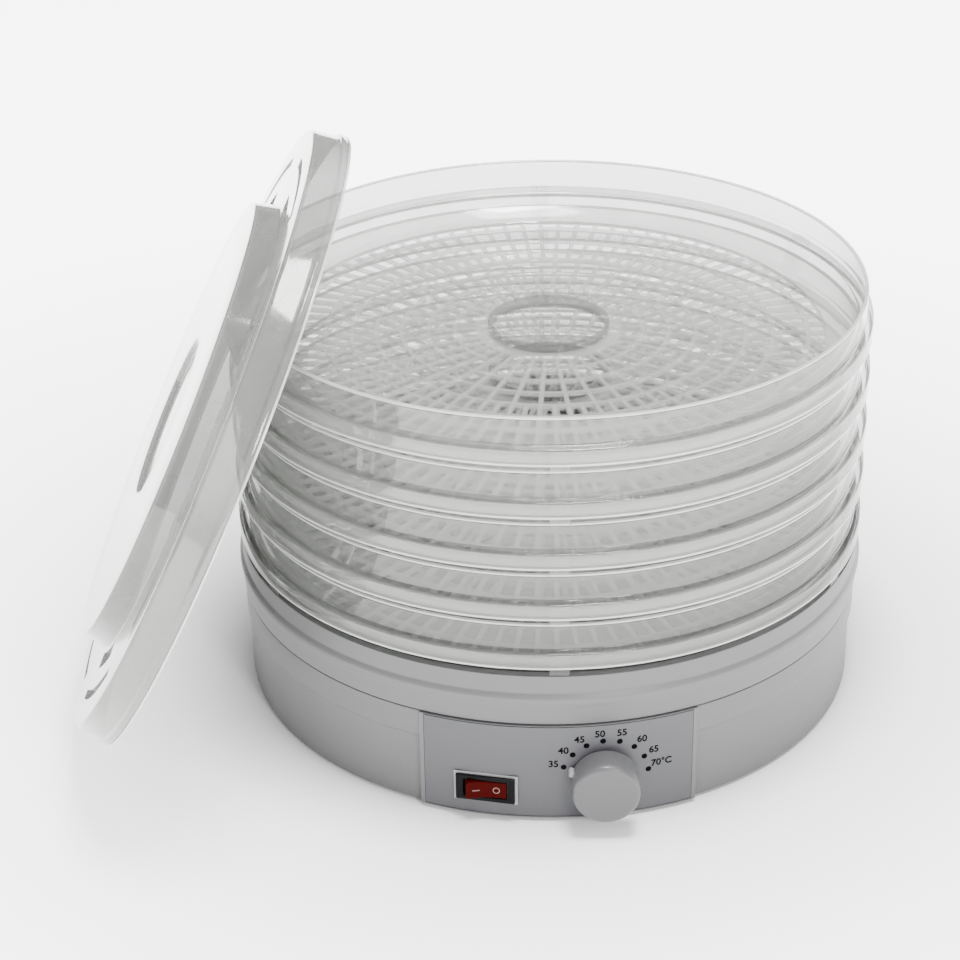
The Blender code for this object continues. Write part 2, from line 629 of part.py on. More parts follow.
def build_thermostat():
    """The thermostat, its nut, its shaft and the knob; heights run from y = 0 towards -Y."""
    front_wall = math.sqrt(PANEL_R ** 2 - (KNOB_X - NUT_R) ** 2)
    body_front = flat_behind(BODY_R - WALL, KNOB_X + THERMOSTAT_R)
    body_back = body_front - THERMOSTAT_DEPTH
    bushing_front = front_wall + GAP + NUT_THICKNESS + 0.6
    shaft_bore = bore_radius(SHAFT_R + RUNNING_GAP, MEDIUM_SEGMENTS)
    shaft_back = body_back + 6
    body = turned("thermostat_body", [
        (0, shaft_back - GAP), (shaft_bore, shaft_back - GAP), (shaft_bore, bushing_front),
        (BUSHING_R, bushing_front), (BUSHING_R, body_front), (THERMOSTAT_R, body_front),
        (THERMOSTAT_R, body_back), (0, body_back)], STEEL, segments=MEDIUM_SEGMENTS, closed=False)
    along_y(body)

    nut_back = front_wall + GAP
    thread = circle(bore_radius(BUSHING_R + RUNNING_GAP, MEDIUM_SEGMENTS), MEDIUM_SEGMENTS)
    nut = plate("thermostat_nut", [circle(NUT_R, 6), thread], nut_back, nut_back + NUT_THICKNESS, BRASS)
    along_y(nut)

    knob_back = PANEL_R + KNOB_CLEARANCE
    knob_front = knob_back + KNOB_LENGTH
    hub_bore = bore_radius(SHAFT_R + 0.15, MEDIUM_SEGMENTS)
    shaft_front = knob_front - KNOB_WALL - GAP
    hub_back = bushing_front + 0.6
    shaft = cylinder("thermostat_shaft", SHAFT_R, shaft_back, shaft_front, STEEL, MEDIUM_SEGMENTS)
    along_y(shaft)

    inner = KNOB_R - KNOB_WALL
    roof = knob_front - KNOB_WALL
    knob = turned("temperature_knob", [
        (0, knob_front), (KNOB_R - 1.6, knob_front), (KNOB_R, knob_front - 1.6), (KNOB_R, knob_back),
        (inner, knob_back), (inner, roof), (KNOB_HUB_R, roof), (KNOB_HUB_R, hub_back),
        (hub_bore, hub_back), (hub_bore, roof), (0, roof)],
        KNOB_PLASTIC, segments=MEDIUM_SEGMENTS, closed=False)
    pointer = box("pointer", (KNOB_R - 1, -POINTER_WIDTH / 2, knob_back),
                  (KNOB_R + POINTER_REACH, POINTER_WIDTH / 2, knob_back + POINTER_LENGTH),
                  collection=CUTTERS)
    place(pointer, turn=(0, 0, POINTER_ANGLE))
    join(knob, pointer)
    bake(knob)
    along_y(knob)


# ---- Fan, motor and heater -----------------------------------------------------------------
def build_motor():
    bore = bore_radius(MOTOR_SHAFT_R + RUNNING_GAP, SMALL_SEGMENTS)
    outlines = [circle(MOTOR_R + BRACKET_MARGIN, MEDIUM_SEGMENTS), circle(BRACKET_HOLE_R, SMALL_SEGMENTS)]
    bracket = plate("motor_bracket", outlines, BRACKET_Z, BRACKET_Z + BRACKET_THICKNESS, STEEL)
    for number, angle in enumerate(BRACKET_ANGLES, 1):
        outline = straight_slot(MOTOR_R - BRACKET_MARGIN, BRACKET_POST_CIRCLE_R + BRACKET_POST_R + 1,
                                angle, BRACKET_ARM_WIDTH)
        arm = plate(f"bracket_arm_{number}", [outline], BRACKET_Z, BRACKET_Z + BRACKET_THICKNESS,
                    collection=CUTTERS)
        hole = cylinder(f"bracket_hole_{number}", bore_radius(MOTOR_SCREW_R + GAP, SMALL_SEGMENTS),
                        BRACKET_Z - 3, BRACKET_Z + 5, collection=CUTTERS)
        place(hole, polar(BRACKET_POST_CIRCLE_R, angle))
        join(bracket, arm)
        cut(bracket, hole)
        top = BRACKET_Z + BRACKET_THICKNESS
        screw = turned(f"motor_screw_{number}", [
            (0, top + GAP + 1.5), (2.6, top + GAP + 1.2), (2.9, top + GAP), (MOTOR_SCREW_R, top + GAP),
            (MOTOR_SCREW_R, COVER_TOP_Z + GAP), (0, COVER_TOP_Z + GAP)],
            STEEL, segments=SMALL_SEGMENTS, closed=False)
        place(screw, polar(BRACKET_POST_CIRCLE_R, angle))

    top = MOTOR_BOTTOM_Z + MOTOR_HEIGHT
    turned("motor_body", [
        (MOTOR_R - 3, top), (MOTOR_R, top - 3), (MOTOR_R, MOTOR_BOTTOM_Z), (bore, MOTOR_BOTTOM_Z),
        (bore, top + 2), (5.0, top + 2), (5.0, top)], STEEL, segments=MEDIUM_SEGMENTS)
    cylinder("motor_shaft", MOTOR_SHAFT_R, BRACKET_Z + 1, FAN_TOP_Z + MOTOR_SHAFT_TIP, STEEL)


def build_fan():
    top = FAN_TOP_Z
    bore = bore_radius(MOTOR_SHAFT_R + RUNNING_GAP, SMALL_SEGMENTS)
    fan = turned("fan_impeller", [
        (bore, top), (FAN_HUB_R - 2, top), (FAN_HUB_R, top - 2), (FAN_HUB_R, FAN_BOTTOM_Z),
        (bore, FAN_BOTTOM_Z)], BLACK_PLASTIC, segments=SMALL_SEGMENTS)
    middle = FAN_BOTTOM_Z + FAN_HUB_HEIGHT / 2
    for index in range(FAN_BLADES):
        blade = box(f"blade_{index + 1}", (FAN_HUB_R - 3, -BLADE_CHORD / 2, -BLADE_THICKNESS / 2),
                    (FAN_R - 1.5, BLADE_CHORD / 2, BLADE_THICKNESS / 2), collection=CUTTERS)
        place(blade, turn=(BLADE_PITCH, 0, 0))
        bake(blade)
        place(blade, (0, 0, middle), (0, 0, 360 * index / FAN_BLADES + 15))
        join(fan, blade)
    clip_bottom = top + GAP
    turned("fan_clip", [(4.6, clip_bottom + 1.2), (4.6, clip_bottom), (bore, clip_bottom),
                        (bore, clip_bottom + 1.2)], STEEL, segments=SMALL_SEGMENTS)


def build_heater():
    bottom = SHROUD_STEP_Z + GAP
    ring_outer = SHROUD_R - 0.5
    frame = turned("heater_frame", [
        (ring_outer, bottom + HEATER_RING), (ring_outer, bottom), (ring_outer - HEATER_RING, bottom),
        (ring_outer - HEATER_RING, bottom + HEATER_RING)], MICA)
    reach = ring_outer - HEATER_RING / 2
    half = HEATER_PLATE / 2
    top = bottom + HEATER_HEIGHT
    for name, x, y in (("cross_x", reach, half), ("cross_y", half, reach)):
        join(frame, box(name, (-x, -y, bottom), (x, y, top), collection=CUTTERS))
    coil_z = bottom + HEATER_HEIGHT - 0.4
    groove = torus("coil_groove", COIL_R + GAP, coil_z, collection=CUTTERS)
    cut(frame, groove)
    torus("heater_coil", COIL_R, coil_z, NICHROME)
    fuse = cylinder("thermal_fuse", FUSE_R, -FUSE_LENGTH / 2, FUSE_LENGTH / 2, WHITE_PLASTIC)
    place(fuse, (0, 0, bottom + HEATER_HEIGHT + FUSE_R + GAP), (0, 90, 0))


def torus(name, radius, height, material=None, collection=None):
    """Ring of round wire on the coil's circle."""
    outline = [(COIL_RING_R + radius * math.cos(math.radians(turn)),
                height + radius * math.sin(math.radians(turn))) for turn in range(90, -270, -45)]
    return turned(name, outline, material, segments=MEDIUM_SEGMENTS, collection=collection)


def build_guard():
    outer = SHROUD_R + GUARD_LIP - GAP
    bottom = DECK_Z - GUARD_THICKNESS
    holes = []
    for inner, outside, count, rib in ((8.0, 30.0, 6, 4.0), (34.0, outer - 5, 12, 4.0)):
        for index in range(count):
            middle = 360 * index / count
            half = 180 / count - math.degrees(rib / (inner + outside))
            holes.append(sector(inner, outside, middle - half, middle + half, step=2 * half))
    plate("air_guard", [circle(outer)] + holes, bottom, DECK_Z, GREY_PLASTIC)


# ---- Supply side ---------------------------------------------------------------------------
def build_inlet():
    """Rubber bushing in the back wall and the terminal block behind it."""
    wall_outer, wall_inner = BODY_R + 0.2, BODY_R - WALL - 0.9
    neck = INLET_HOLE_R - 0.5
    bushing = turned("inlet_bushing", [
        (8.0, wall_outer + 2.4), (8.6, wall_outer + GAP), (neck, wall_outer + GAP), (neck, wall_inner - GAP),
        (7.6, wall_inner - GAP), (7.0, wall_inner - 3), (INLET_BORE_R, wall_inner - 3),
        (INLET_BORE_R, wall_outer + 2.4)], RUBBER, segments=MEDIUM_SEGMENTS)
    place(bushing, (0, 0, INLET_Z), (-90, 0, 0))
    base_z = COVER_TOP_Z + GAP
    (x, y), (well_x, well_y) = TERMINAL_HALF, WELL_HALF
    block = box("terminal_block", (-x, TERMINAL_Y - y, base_z),
                (x, TERMINAL_Y + y, base_z + TERMINAL_HEIGHT), WHITE_PLASTIC)
    well = box("well", (-well_x, TERMINAL_Y - well_y, base_z + WELL_FLOOR),
               (well_x, TERMINAL_Y + well_y, base_z + TERMINAL_HEIGHT + 8), collection=CUTTERS)
    cut(block, well)


def smooth_route(points, samples=4):
    """Points along a Catmull-Rom curve through a route."""
    route = [Vector(point) for point in points]
    route = [2 * route[0] - route[1]] + route + [2 * route[-1] - route[-2]]
    result = []
    for before, start, end, after in zip(route, route[1:], route[2:], route[3:]):
        for step in range(samples):
            t = step / samples
            result.append(0.5 * (2 * start + (end - before) * t
                                 + (2 * before - 5 * start + 4 * end - after) * t * t
                                 + (3 * start - before - 3 * end + after) * t ** 3))
    return result + [route[-2]]


def build_wires():
    """Insulated leads inside the base, each ending just off what it is fixed to."""
    block_top = COVER_TOP_Z + GAP + TERMINAL_HEIGHT
    well = COVER_TOP_Z + GAP + WELL_FLOOR + GAP
    floor = COVER_TOP_Z + 2.5
    switch_back = BEZEL_FRONT_R - SWITCH_DEPTH - TAB_LENGTH
    lead_end = switch_back - 2 * GAP
    first_tab, second_tab = FRONT + SWITCH_ANGLE, FRONT + SWITCH_ANGLE + SWITCH_TAB_STEP
    thermostat_back = flat_behind(BODY_R - WALL, KNOB_X + THERMOSTAT_R) - THERMOSTAT_DEPTH
    motor_top = MOTOR_BOTTOM_Z + MOTOR_HEIGHT
    tube("lead_block_to_switch", smooth_route([
        (-10, TERMINAL_Y, well), (-10, TERMINAL_Y, block_top + 5), (-34, 116, block_top + 8),
        (-78, 95, floor + 14),
        polar(124, 180, floor + 12), polar(120, 215, floor + 14), polar(lead_end - 10, 252, SWITCH_Z + 3),
        polar(lead_end - 4, first_tab, SWITCH_Z), polar(lead_end, first_tab, SWITCH_Z)]),
        LEAD_R, WIRE_RED)
    tube("lead_switch_to_thermostat", smooth_route([
        polar(lead_end, second_tab, SWITCH_Z), polar(lead_end - 4, second_tab, SWITCH_Z),
        polar(126, FRONT - 4, SWITCH_Z + 6), (12, -thermostat_back + 8, KNOB_Z + 4),
        (19, -thermostat_back + LEAD_R + GAP, KNOB_Z + 4)]), LEAD_R, WIRE_RED)
    tube("lead_thermostat_to_heater", smooth_route([
        (26, -thermostat_back + LEAD_R + GAP, KNOB_Z + 2), (34, -118, KNOB_Z + 8),
        (48, -92, SHROUD_BOTTOM_Z - 6), (46, -60, SHROUD_BOTTOM_Z - 5),
        (44.5, -45, SHROUD_BOTTOM_Z - LEAD_R - GAP)]), LEAD_R, WIRE_RED)
    tube("lead_block_to_motor", smooth_route([
        (10, TERMINAL_Y, well), (10, TERMINAL_Y, block_top + 5), (17, 100, block_top + 6),
        (16, 70, floor + 20),
        (10, 40, motor_top - 6), (8, MOTOR_R + LEAD_R + GAP, motor_top - 9)]), LEAD_R, WIRE_BLUE)


# ---- Trays and lid -------------------------------------------------------------------------
def wall_outline():
    """Wall, skirt and slanted corner of a tray, above and below the skirt's lower edge."""
    inner_skirt = SKIRT_R - TRAY_WALL
    shoulder = SKIRT_HEIGHT + 0.6
    floor_top, floor_bottom = -FLOOR_DROP, -FLOOR_DROP - FLOOR_THICKNESS
    basket_bottom = floor_top + 3.4
    return [
        (COLLAR_R, TRAY_RIM_HEIGHT), (COLLAR_R, shoulder), (SKIRT_R, SKIRT_HEIGHT - 0.6), (SKIRT_R, 0),
        (inner_skirt, 0), (inner_skirt, shoulder - 2.8), (BASKET_R + 0.8, shoulder - 2.8),
        (BASKET_R, basket_bottom), (BASKET_R - FLOOR_CORNER, floor_bottom), (FLOOR_BORE_R, floor_bottom),
        (FLOOR_BORE_R, floor_top), (BASKET_R - 2.0, floor_top + 4.0), (COLLAR_BORE_R, TRAY_RIM_HEIGHT)]


def floor_outline():
    """A tray's floor, from the skirt's lower edge."""
    floor_top, floor_bottom = -FLOOR_DROP, -FLOOR_DROP - FLOOR_THICKNESS
    edge = FLOOR_BORE_R - FLOOR_GAP
    return [
        (edge, floor_top), (edge, floor_bottom), (CENTRE_HOLE_R, floor_bottom), (CENTRE_HOLE_R, floor_top)]


def ring_outline():
    """The ring round the floor's centre hole."""
    bottom, top = -FLOOR_DROP + FLOOR_GAP, -FLOOR_DROP + CENTRE_RING_HEIGHT
    outer = CENTRE_HOLE_R + TRAY_WALL
    return [(outer, bottom), (CENTRE_HOLE_R, bottom), (CENTRE_HOLE_R, top), (outer, top)]


def lug_section():
    """Seat on the rim below and tongue inside it, in (radius, height)."""
    seat = -TRAY_LUG_DROP + GAP
    seat_outer = SKIRT_R - TRAY_WALL / 2
    tongue_inner = BASKET_R - FLOOR_CORNER + 1.3
    top = SKIRT_HEIGHT - 1.8
    tip = LUG_TONGUE_R - LUG_TONGUE_TAPER
    return [(seat_outer, top), (seat_outer, seat), (LUG_TONGUE_R, seat), (tip, -LUG_TONGUE_DROP),
            (tongue_inner, -LUG_TONGUE_DROP), (tongue_inner, -FLOOR_DROP + 0.4), (BASKET_R - 1.0, top)]


def mesh_openings():
    """Outlines of the floor's openings, ring by ring."""
    openings = []
    half_rib = MESH_RIB / 2
    for inner, outer in ((MESH_INNER_R, MESH_MIDDLE_R - half_rib), (MESH_MIDDLE_R + half_rib, MESH_OUTER_R)):
        for index in range(MESH_OPENINGS):
            middle = 360 * (index + 0.5) / MESH_OPENINGS
            half = 180 / MESH_OPENINGS - math.degrees(MESH_RIB / (inner + outer))
            openings.append(sector(inner, outer, middle - half, middle + half, step=2 * half))
    return openings


def build_trays():
    outlines = (("wall_pattern", wall_outline()), ("floor_pattern", floor_outline()),
                ("ring_pattern", ring_outline()))
    wall, floor, ring = (turned(name, outline, CLEAR_PLASTIC, segments=TRAY_SEGMENTS, collection=CUTTERS)
                         for name, outline in outlines)
    for number, angle in enumerate(LUG_ANGLES, 1):
        lug = plate(f"lug_{number}", [lug_section()], -LUG_WIDTH / 2, LUG_WIDTH / 2, collection=CUTTERS)
        place(lug, turn=(90, 0, 0))
        bake(lug)
        place(lug, turn=(0, 0, angle))
        join(wall, lug)
    grid = plate("mesh_grid", mesh_openings(), -FLOOR_DROP - FLOOR_THICKNESS - 3, -FLOOR_DROP + 1,
                 collection=CUTTERS)
    cut(floor, grid)
    for pattern in (wall, floor, ring):
        merge_flats(pattern)
    for number in range(1, TRAY_COUNT + 1):
        for name, pattern in (("tray_wall", wall), ("tray_mesh", floor), ("tray_ring", ring)):
            place(new_object(f"{name}_{number}", pattern.data.copy()), (0, 0, tray_z(number)))


def lid_outline():
    """Section of the lid from its centre outwards and back, above its open edge."""
    top, dome = LID_DEPTH, LID_DEPTH + LID_DOME_HEIGHT
    dish = dome - LID_DISH_DEPTH
    foot = LID_DOME_R + LID_DOME_FOOT
    wall = LID_WALL
    return [
        (0, dish), (LID_DISH_R - 2, dish), (LID_DISH_R, dome), (LID_DOME_R, dome), (foot, top),
        (LID_TOP_R, top),
        (LID_TOP_R + 1.0, top - 1.5), (LID_SKIRT_R, LID_EDGE_BAND + 0.8), (LID_R, LID_EDGE_BAND), (LID_R, 0),
        (LID_R - wall, 0), (LID_R - wall, LID_EDGE_BAND - 1.4), (LID_SKIRT_R - wall, LID_EDGE_BAND - 0.6),
        (LID_TOP_R - 1.0, top - wall), (foot - 1.5, top - wall), (LID_DOME_R - 1.5, dome - wall),
        (LID_DISH_R + 1.5, dome - wall), (LID_DISH_R - 0.5, dish - wall), (0, dish - wall)]


def lid_room(radius):
    """Depth of the lid's hollow at this distance from its middle."""
    top = LID_DEPTH - LID_WALL
    if radius < LID_DISH_R + 1.5:
        return top + LID_DOME_HEIGHT - LID_DISH_DEPTH
    slope = (LID_DOME_R + LID_DOME_FOOT - 1.5 - radius) / LID_DOME_FOOT
    return top + LID_DOME_HEIGHT * min(1.0, max(0.0, slope))


def lid_matrix(x):
    """From the lid's own frame, open edge at z = 0, to its leaning place."""
    tilt = math.radians(LID_LEAN)
    centre = Vector((x, LID_Y, LID_R * math.sin(tilt) + GAP)) * MM
    return Matrix.Translation(centre) @ Matrix.Rotation(-tilt, 4, "Y")


def facet_radius(radius, angle, segments):
    """Distance from the axis to the flat of a faceted round at this angle."""
    step = 360 / segments
    return radius * math.cos(math.radians(step / 2)) / math.cos(math.radians(angle % step - step / 2))


def clears_stack(x):
    """Whether the top tray's edges stay inside the hollow of a lid that leans there."""
    to_lid = lid_matrix(x).inverted()
    base = tray_z(TRAY_COUNT)
    for radius, height in ((COLLAR_R, base + TRAY_RIM_HEIGHT), (SKIRT_R, base + SKIRT_HEIGHT)):
        for angle in range(90, 271):
            edge = facet_radius(radius, angle, TRAY_SEGMENTS)
            spot = to_lid @ (polar(edge, angle, height) * MM) / MM
            bearing = math.degrees(math.atan2(spot.y, spot.x))
            reach = spot.xy.length / facet_radius(1.0, bearing, ROUND_SEGMENTS)
            if spot.z > 0 and spot.z > lid_room(reach + LID_STACK_GAP) - LID_STACK_GAP:
                return False
    return True


def lid_x():
    """Middle of the lid's open edge, as near to the stack as the top tray lets it lean."""
    near, far = 0.0, -2 * STACK_R
    while near - far > 0.01:
        middle = (near + far) / 2
        if clears_stack(middle):
            far = middle
        else:
            near = middle
    return far


def build_lid():
    lid = turned("lid", lid_outline(), CLEAR_PLASTIC, closed=False)
    slots = []
    for index in range(LID_SLOTS):
        middle = 360 * index / LID_SLOTS
        for radius, width, span in ((LID_SLOT_R, LID_SLOT_WIDTH, LID_SLOT_SPAN),
                                    (LID_INNER_SLOT_R, LID_INNER_SLOT_WIDTH, LID_INNER_SLOT_SPAN)):
            slots.append(sector(radius - width / 2, radius + width / 2, middle - span / 2,
                                middle + span / 2, step=8))
    vents = plate("lid_vents", slots, LID_DEPTH - 6, LID_DEPTH + 3, collection=CUTTERS)
    cut(lid, vents)
    merge_flats(lid)
    lid.matrix_world = lid_matrix(lid_x())


build_housing()
build_panel()
build_top_cover()
build_bottom_cover()
build_feet()
build_cover_screws()
build_switch()
build_thermostat()
build_motor()
build_fan()
build_heater()
build_guard()
build_inlet()
build_wires()
build_trays()
build_lid()
for part in PARTS.objects:
    shade_round(part.data)
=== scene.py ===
"""Looks of the round food dehydrator: clear mesh trays, vented lid, moulded base and control panel."""
import json
import math

import bpy
from mathutils import Matrix, Vector


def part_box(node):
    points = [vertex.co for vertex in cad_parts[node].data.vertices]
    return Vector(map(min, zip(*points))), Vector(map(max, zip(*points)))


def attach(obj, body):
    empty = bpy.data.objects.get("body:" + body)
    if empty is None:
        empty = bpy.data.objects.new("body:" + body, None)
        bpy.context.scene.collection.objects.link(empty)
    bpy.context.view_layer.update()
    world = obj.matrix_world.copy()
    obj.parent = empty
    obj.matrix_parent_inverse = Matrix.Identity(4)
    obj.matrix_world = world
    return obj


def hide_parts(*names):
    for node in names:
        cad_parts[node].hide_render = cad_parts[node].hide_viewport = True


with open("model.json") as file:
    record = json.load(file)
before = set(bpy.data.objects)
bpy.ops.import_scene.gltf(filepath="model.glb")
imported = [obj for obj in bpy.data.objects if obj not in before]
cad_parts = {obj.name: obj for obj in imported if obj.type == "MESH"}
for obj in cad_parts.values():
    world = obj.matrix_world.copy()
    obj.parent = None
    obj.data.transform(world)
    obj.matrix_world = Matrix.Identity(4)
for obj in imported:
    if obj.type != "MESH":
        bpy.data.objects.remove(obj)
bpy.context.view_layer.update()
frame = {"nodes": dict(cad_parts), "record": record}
NODES = frame["nodes"]
MM = 0.001
FRONT = -90.0               # direction of the panel's middle, round the stack from +X
ROUND = 180                 # facets of the large turned pieces
WELD = 0.000002             # vertices nearer to each other than this, in metres, are merged
CURVE_STEPS = 3             # segments of a rounded corner of an outline
SMOOTH = math.radians(30)   # faces that meet at less than this are shaded as one


# ---- Modelling helpers ----------------------------------------------------------------------
def deselect():
    if bpy.context.mode != "OBJECT":
        bpy.ops.object.mode_set(mode="OBJECT")
    bpy.ops.object.select_all(action="DESELECT")


def only(obj):
    deselect()
    obj.select_set(True)
    bpy.context.view_layer.objects.active = obj


def rounded(corners, fillet, closed=True):
    """Corners of an outline, each replaced by a short curve of about this radius."""
    points = [Vector(corner) for corner in corners]
    result = []
    for index, here in enumerate(points):
        if not closed and index in (0, len(points) - 1):
            result.append(here)
            continue
        back = points[index - 1] - here
        ahead = points[(index + 1) % len(points)] - here
        reach = min(fillet, back.length * 0.45, ahead.length * 0.45)
        start, end = here + back.normalized() * reach, here + ahead.normalized() * reach
        for step in range(CURVE_STEPS + 1):
            t = step / CURVE_STEPS
            result.append(start * (1 - t) ** 2 + here * (2 * t * (1 - t)) + end * t * t)
    return result


def draw_line(name, points):
    """A line of vertices in the XZ plane, extruded point by point; leaves edit mode on."""
    deselect()
    bpy.ops.mesh.primitive_plane_add(size=MM)
    obj = bpy.context.object
    obj.name = obj.data.name = name
    bpy.ops.object.mode_set(mode="EDIT")
    bpy.ops.mesh.select_mode(type="VERT")
    bpy.ops.mesh.merge(type="CENTER")
    place = Vector()
    for index, (radius, height) in enumerate(points):
        target = Vector((radius, 0, height)) * MM
        if index:
            bpy.ops.mesh.extrude_region_move(TRANSFORM_OT_translate={"value": target - place})
        else:
            bpy.ops.transform.translate(value=target)
        place = target
    return obj


def weld():
    """Selects the whole mesh in edit mode and merges its doubled vertices."""
    bpy.ops.mesh.select_all(action="SELECT")
    bpy.ops.mesh.remove_doubles(threshold=WELD)


def smooth():
    bpy.ops.object.shade_smooth_by_angle(angle=SMOOTH)


def tidy_mesh():
    """Welds and turns outwards the mesh in edit mode, and goes back to object mode."""
    weld()
    bpy.ops.mesh.normals_make_consistent(inside=False)
    bpy.ops.object.mode_set(mode="OBJECT")
    smooth()


def turn_about(points, name, steps=ROUND, sweep=360.0, start=0.0, closed=True):
    """Solid made by spinning an outline of (radius, height) pairs about Z."""
    outline = list(points) + ([points[0]] if closed else [])
    obj = draw_line(name, outline)
    weld()
    bpy.ops.mesh.spin(steps=steps, angle=math.radians(sweep), center=(0, 0, 0), axis=(0, 0, 1))
    if sweep < 360:
        weld()
        bpy.ops.mesh.select_all(action="DESELECT")
        bpy.ops.mesh.select_non_manifold()
        bpy.ops.mesh.fill_holes(sides=0)
    tidy_mesh()
    if sweep < 360:
        move(obj, turn(start + sweep))      # the spin runs clockwise
    return obj


def extruded(outline, width, name):
    """Solid bar of this outline in XZ, its width centred on Y."""
    obj = draw_line(name, outline + [outline[0]])
    weld()
    bpy.ops.mesh.edge_face_add()
    bpy.ops.mesh.extrude_region_move(TRANSFORM_OT_translate={"value": (0, width * MM, 0)})
    tidy_mesh()
    return move(obj, shift(0, -width / 2, 0))


def move(obj, matrix):
    """Moves an object's vertices, so that the object itself stays at the origin."""
    obj.data.transform(matrix)
    obj.data.update()
    return obj


def apply_modifier(obj, kind, **settings):
    only(obj)
    modifier = obj.modifiers.new(kind.title(), kind)
    for key, value in settings.items():
        setattr(modifier, key, value)
    bpy.ops.object.modifier_apply(modifier=modifier.name)
    return obj


def bevel(obj, width, segments=2, angle=35):
    return apply_modifier(obj, "BEVEL", width=width * MM, segments=segments, limit_method="ANGLE",
                          angle_limit=math.radians(angle))


def cut(obj, *cutters):
    for cutter in cutters:
        apply_modifier(obj, "BOOLEAN", operation="DIFFERENCE", solver="EXACT", object=cutter)
        bpy.data.objects.remove(cutter)
    only(obj)
    smooth()
    return obj


def join(name, *pieces):
    deselect()
    for piece in pieces:
        piece.select_set(True)
    bpy.context.view_layer.objects.active = pieces[0]
    bpy.ops.object.join()
    result = bpy.context.object
    result.name = result.data.name = name
    return result


def copy_of(obj, name, matrix):
    twin = obj.copy()
    twin.data = obj.data.copy()
    twin.name = twin.data.name = name
    bpy.context.scene.collection.objects.link(twin)
    return move(twin, matrix)


def block(name, low, high, fillet=0.0):
    """Box between two corners in millimetres, with softened edges."""
    low, high = Vector(low) * MM, Vector(high) * MM
    deselect()
    bpy.ops.mesh.primitive_cube_add(size=1, location=(low + high) / 2, scale=high - low)
    obj = bpy.context.object
    obj.name = obj.data.name = name
    bpy.ops.object.transform_apply(location=True, rotation=False, scale=True)
    if fillet:
        bevel(obj, fillet, 3)
        smooth()
    return obj


def disc(name, radius, bottom, top, sides=48):
    """Upright round bar about Z, in millimetres."""
    deselect()
    bpy.ops.mesh.primitive_cylinder_add(vertices=sides, radius=radius * MM, depth=(top - bottom) * MM,
                                        location=(0, 0, (top + bottom) / 2 * MM))
    obj = bpy.context.object
    obj.name = obj.data.name = name
    bpy.ops.object.transform_apply(location=True, rotation=False, scale=True)
    smooth()
    return obj


def turn(angle, axis="Z"):
    return Matrix.Rotation(math.radians(angle), 4, axis)


def shift(x=0.0, y=0.0, z=0.0):
    return Matrix.Translation(Vector((x, y, z)) * MM)


# ---- Shader helpers -------------------------------------------------------------------------
class Value:
    """A shader socket that arithmetic can be written on."""

    def __init__(self, finish, socket):
        self.finish, self.socket = finish, socket

    def maths(self, operation, *others):
        return self.finish.node("ShaderNodeMath", {"operation": operation}, *others)

    def __add__(self, other):
        return self.maths("ADD", self, other)

    def __sub__(self, other):
        return self.maths("SUBTRACT", self, other)

    def __rsub__(self, other):
        return self.maths("SUBTRACT", other, self)

    def __mul__(self, other):
        return self.maths("MULTIPLY", self, other)

    def __pow__(self, other):
        return self.maths("POWER", self, other)

    __radd__ = __add__
    __rmul__ = __mul__


class Finish:
    """A procedural material round one Principled shader."""

    def __init__(self, name, **values):
        self.material = bpy.data.materials.new(name)
        self.material.use_nodes = True
        self.tree = self.material.node_tree
        self.shader = self.tree.nodes["Principled BSDF"]
        self.place = self.node("ShaderNodeTexCoord", {}, output="Object")
        self.set(**values)

    def node(self, kind, settings, *inputs, output=0, **named):
        """A new node; settings come first, then the values or links of its sockets."""
        node = self.tree.nodes.new(kind)
        for key, value in settings.items():
            if key == "stops":
                ramp = node.color_ramp
                while len(ramp.elements) < len(value):
                    ramp.elements.new(1.0)
                for element, (position, colour) in zip(ramp.elements, value):
                    element.position, element.color = position, (*colour, 1.0)
            else:
                setattr(node, key, value)
        for key, value in [*enumerate(inputs), *named.items()]:
            socket = node.inputs[key if isinstance(key, int) else key.replace("_", " ")]
            self.feed(socket, value)
        return Value(self, node.outputs[output])

    def feed(self, socket, value):
        if isinstance(value, Value):
            self.tree.links.new(value.socket, socket)
        elif hasattr(value, "__len__") and len(value) == 3 and socket.type == "RGBA":
            socket.default_value = (*value, 1.0)
        else:
            socket.default_value = value

    def set(self, **values):
        for key, value in values.items():
            self.feed(self.shader.inputs[key.replace("_", " ")], value)
        return self

    def noise(self, scale, detail=3.0, roughness=0.5, stretch=None):
        place = self.place
        if stretch:
            place = self.node("ShaderNodeMapping", {}, Vector=place, Scale=stretch)
        return self.node("ShaderNodeTexNoise", {}, Vector=place, Scale=scale, Detail=detail,
                         Roughness=roughness)

    def mix(self, factor, first, second):
        """Colour between two colours."""
        node = self.tree.nodes.new("ShaderNodeMix")
        node.data_type = "RGBA"
        for index, value in ((0, factor), (6, first), (7, second)):
            self.feed(node.inputs[index], value)
        return Value(self, node.outputs[2])

    def see_through(self, solid, colour):
        """Lets light straight through where the solid share is below 1."""
        mixed = self.tree.nodes.new("ShaderNodeMixShader")
        through = self.tree.nodes.new("ShaderNodeBsdfTransparent")
        through.inputs["Color"].default_value = (*colour, 1.0)
        self.feed(mixed.inputs[0], solid)
        self.tree.links.new(through.outputs[0], mixed.inputs[1])
        self.tree.links.new(self.shader.outputs[0], mixed.inputs[2])
        self.tree.links.new(mixed.outputs[0], self.tree.nodes["Material Output"].inputs["Surface"])
        return self

    def bump(self, height, strength, distance=0.0002):
        self.set(Normal=self.node("ShaderNodeBump", {}, Strength=strength, Distance=distance,
                                  Height=height, output="Normal"))
        return self


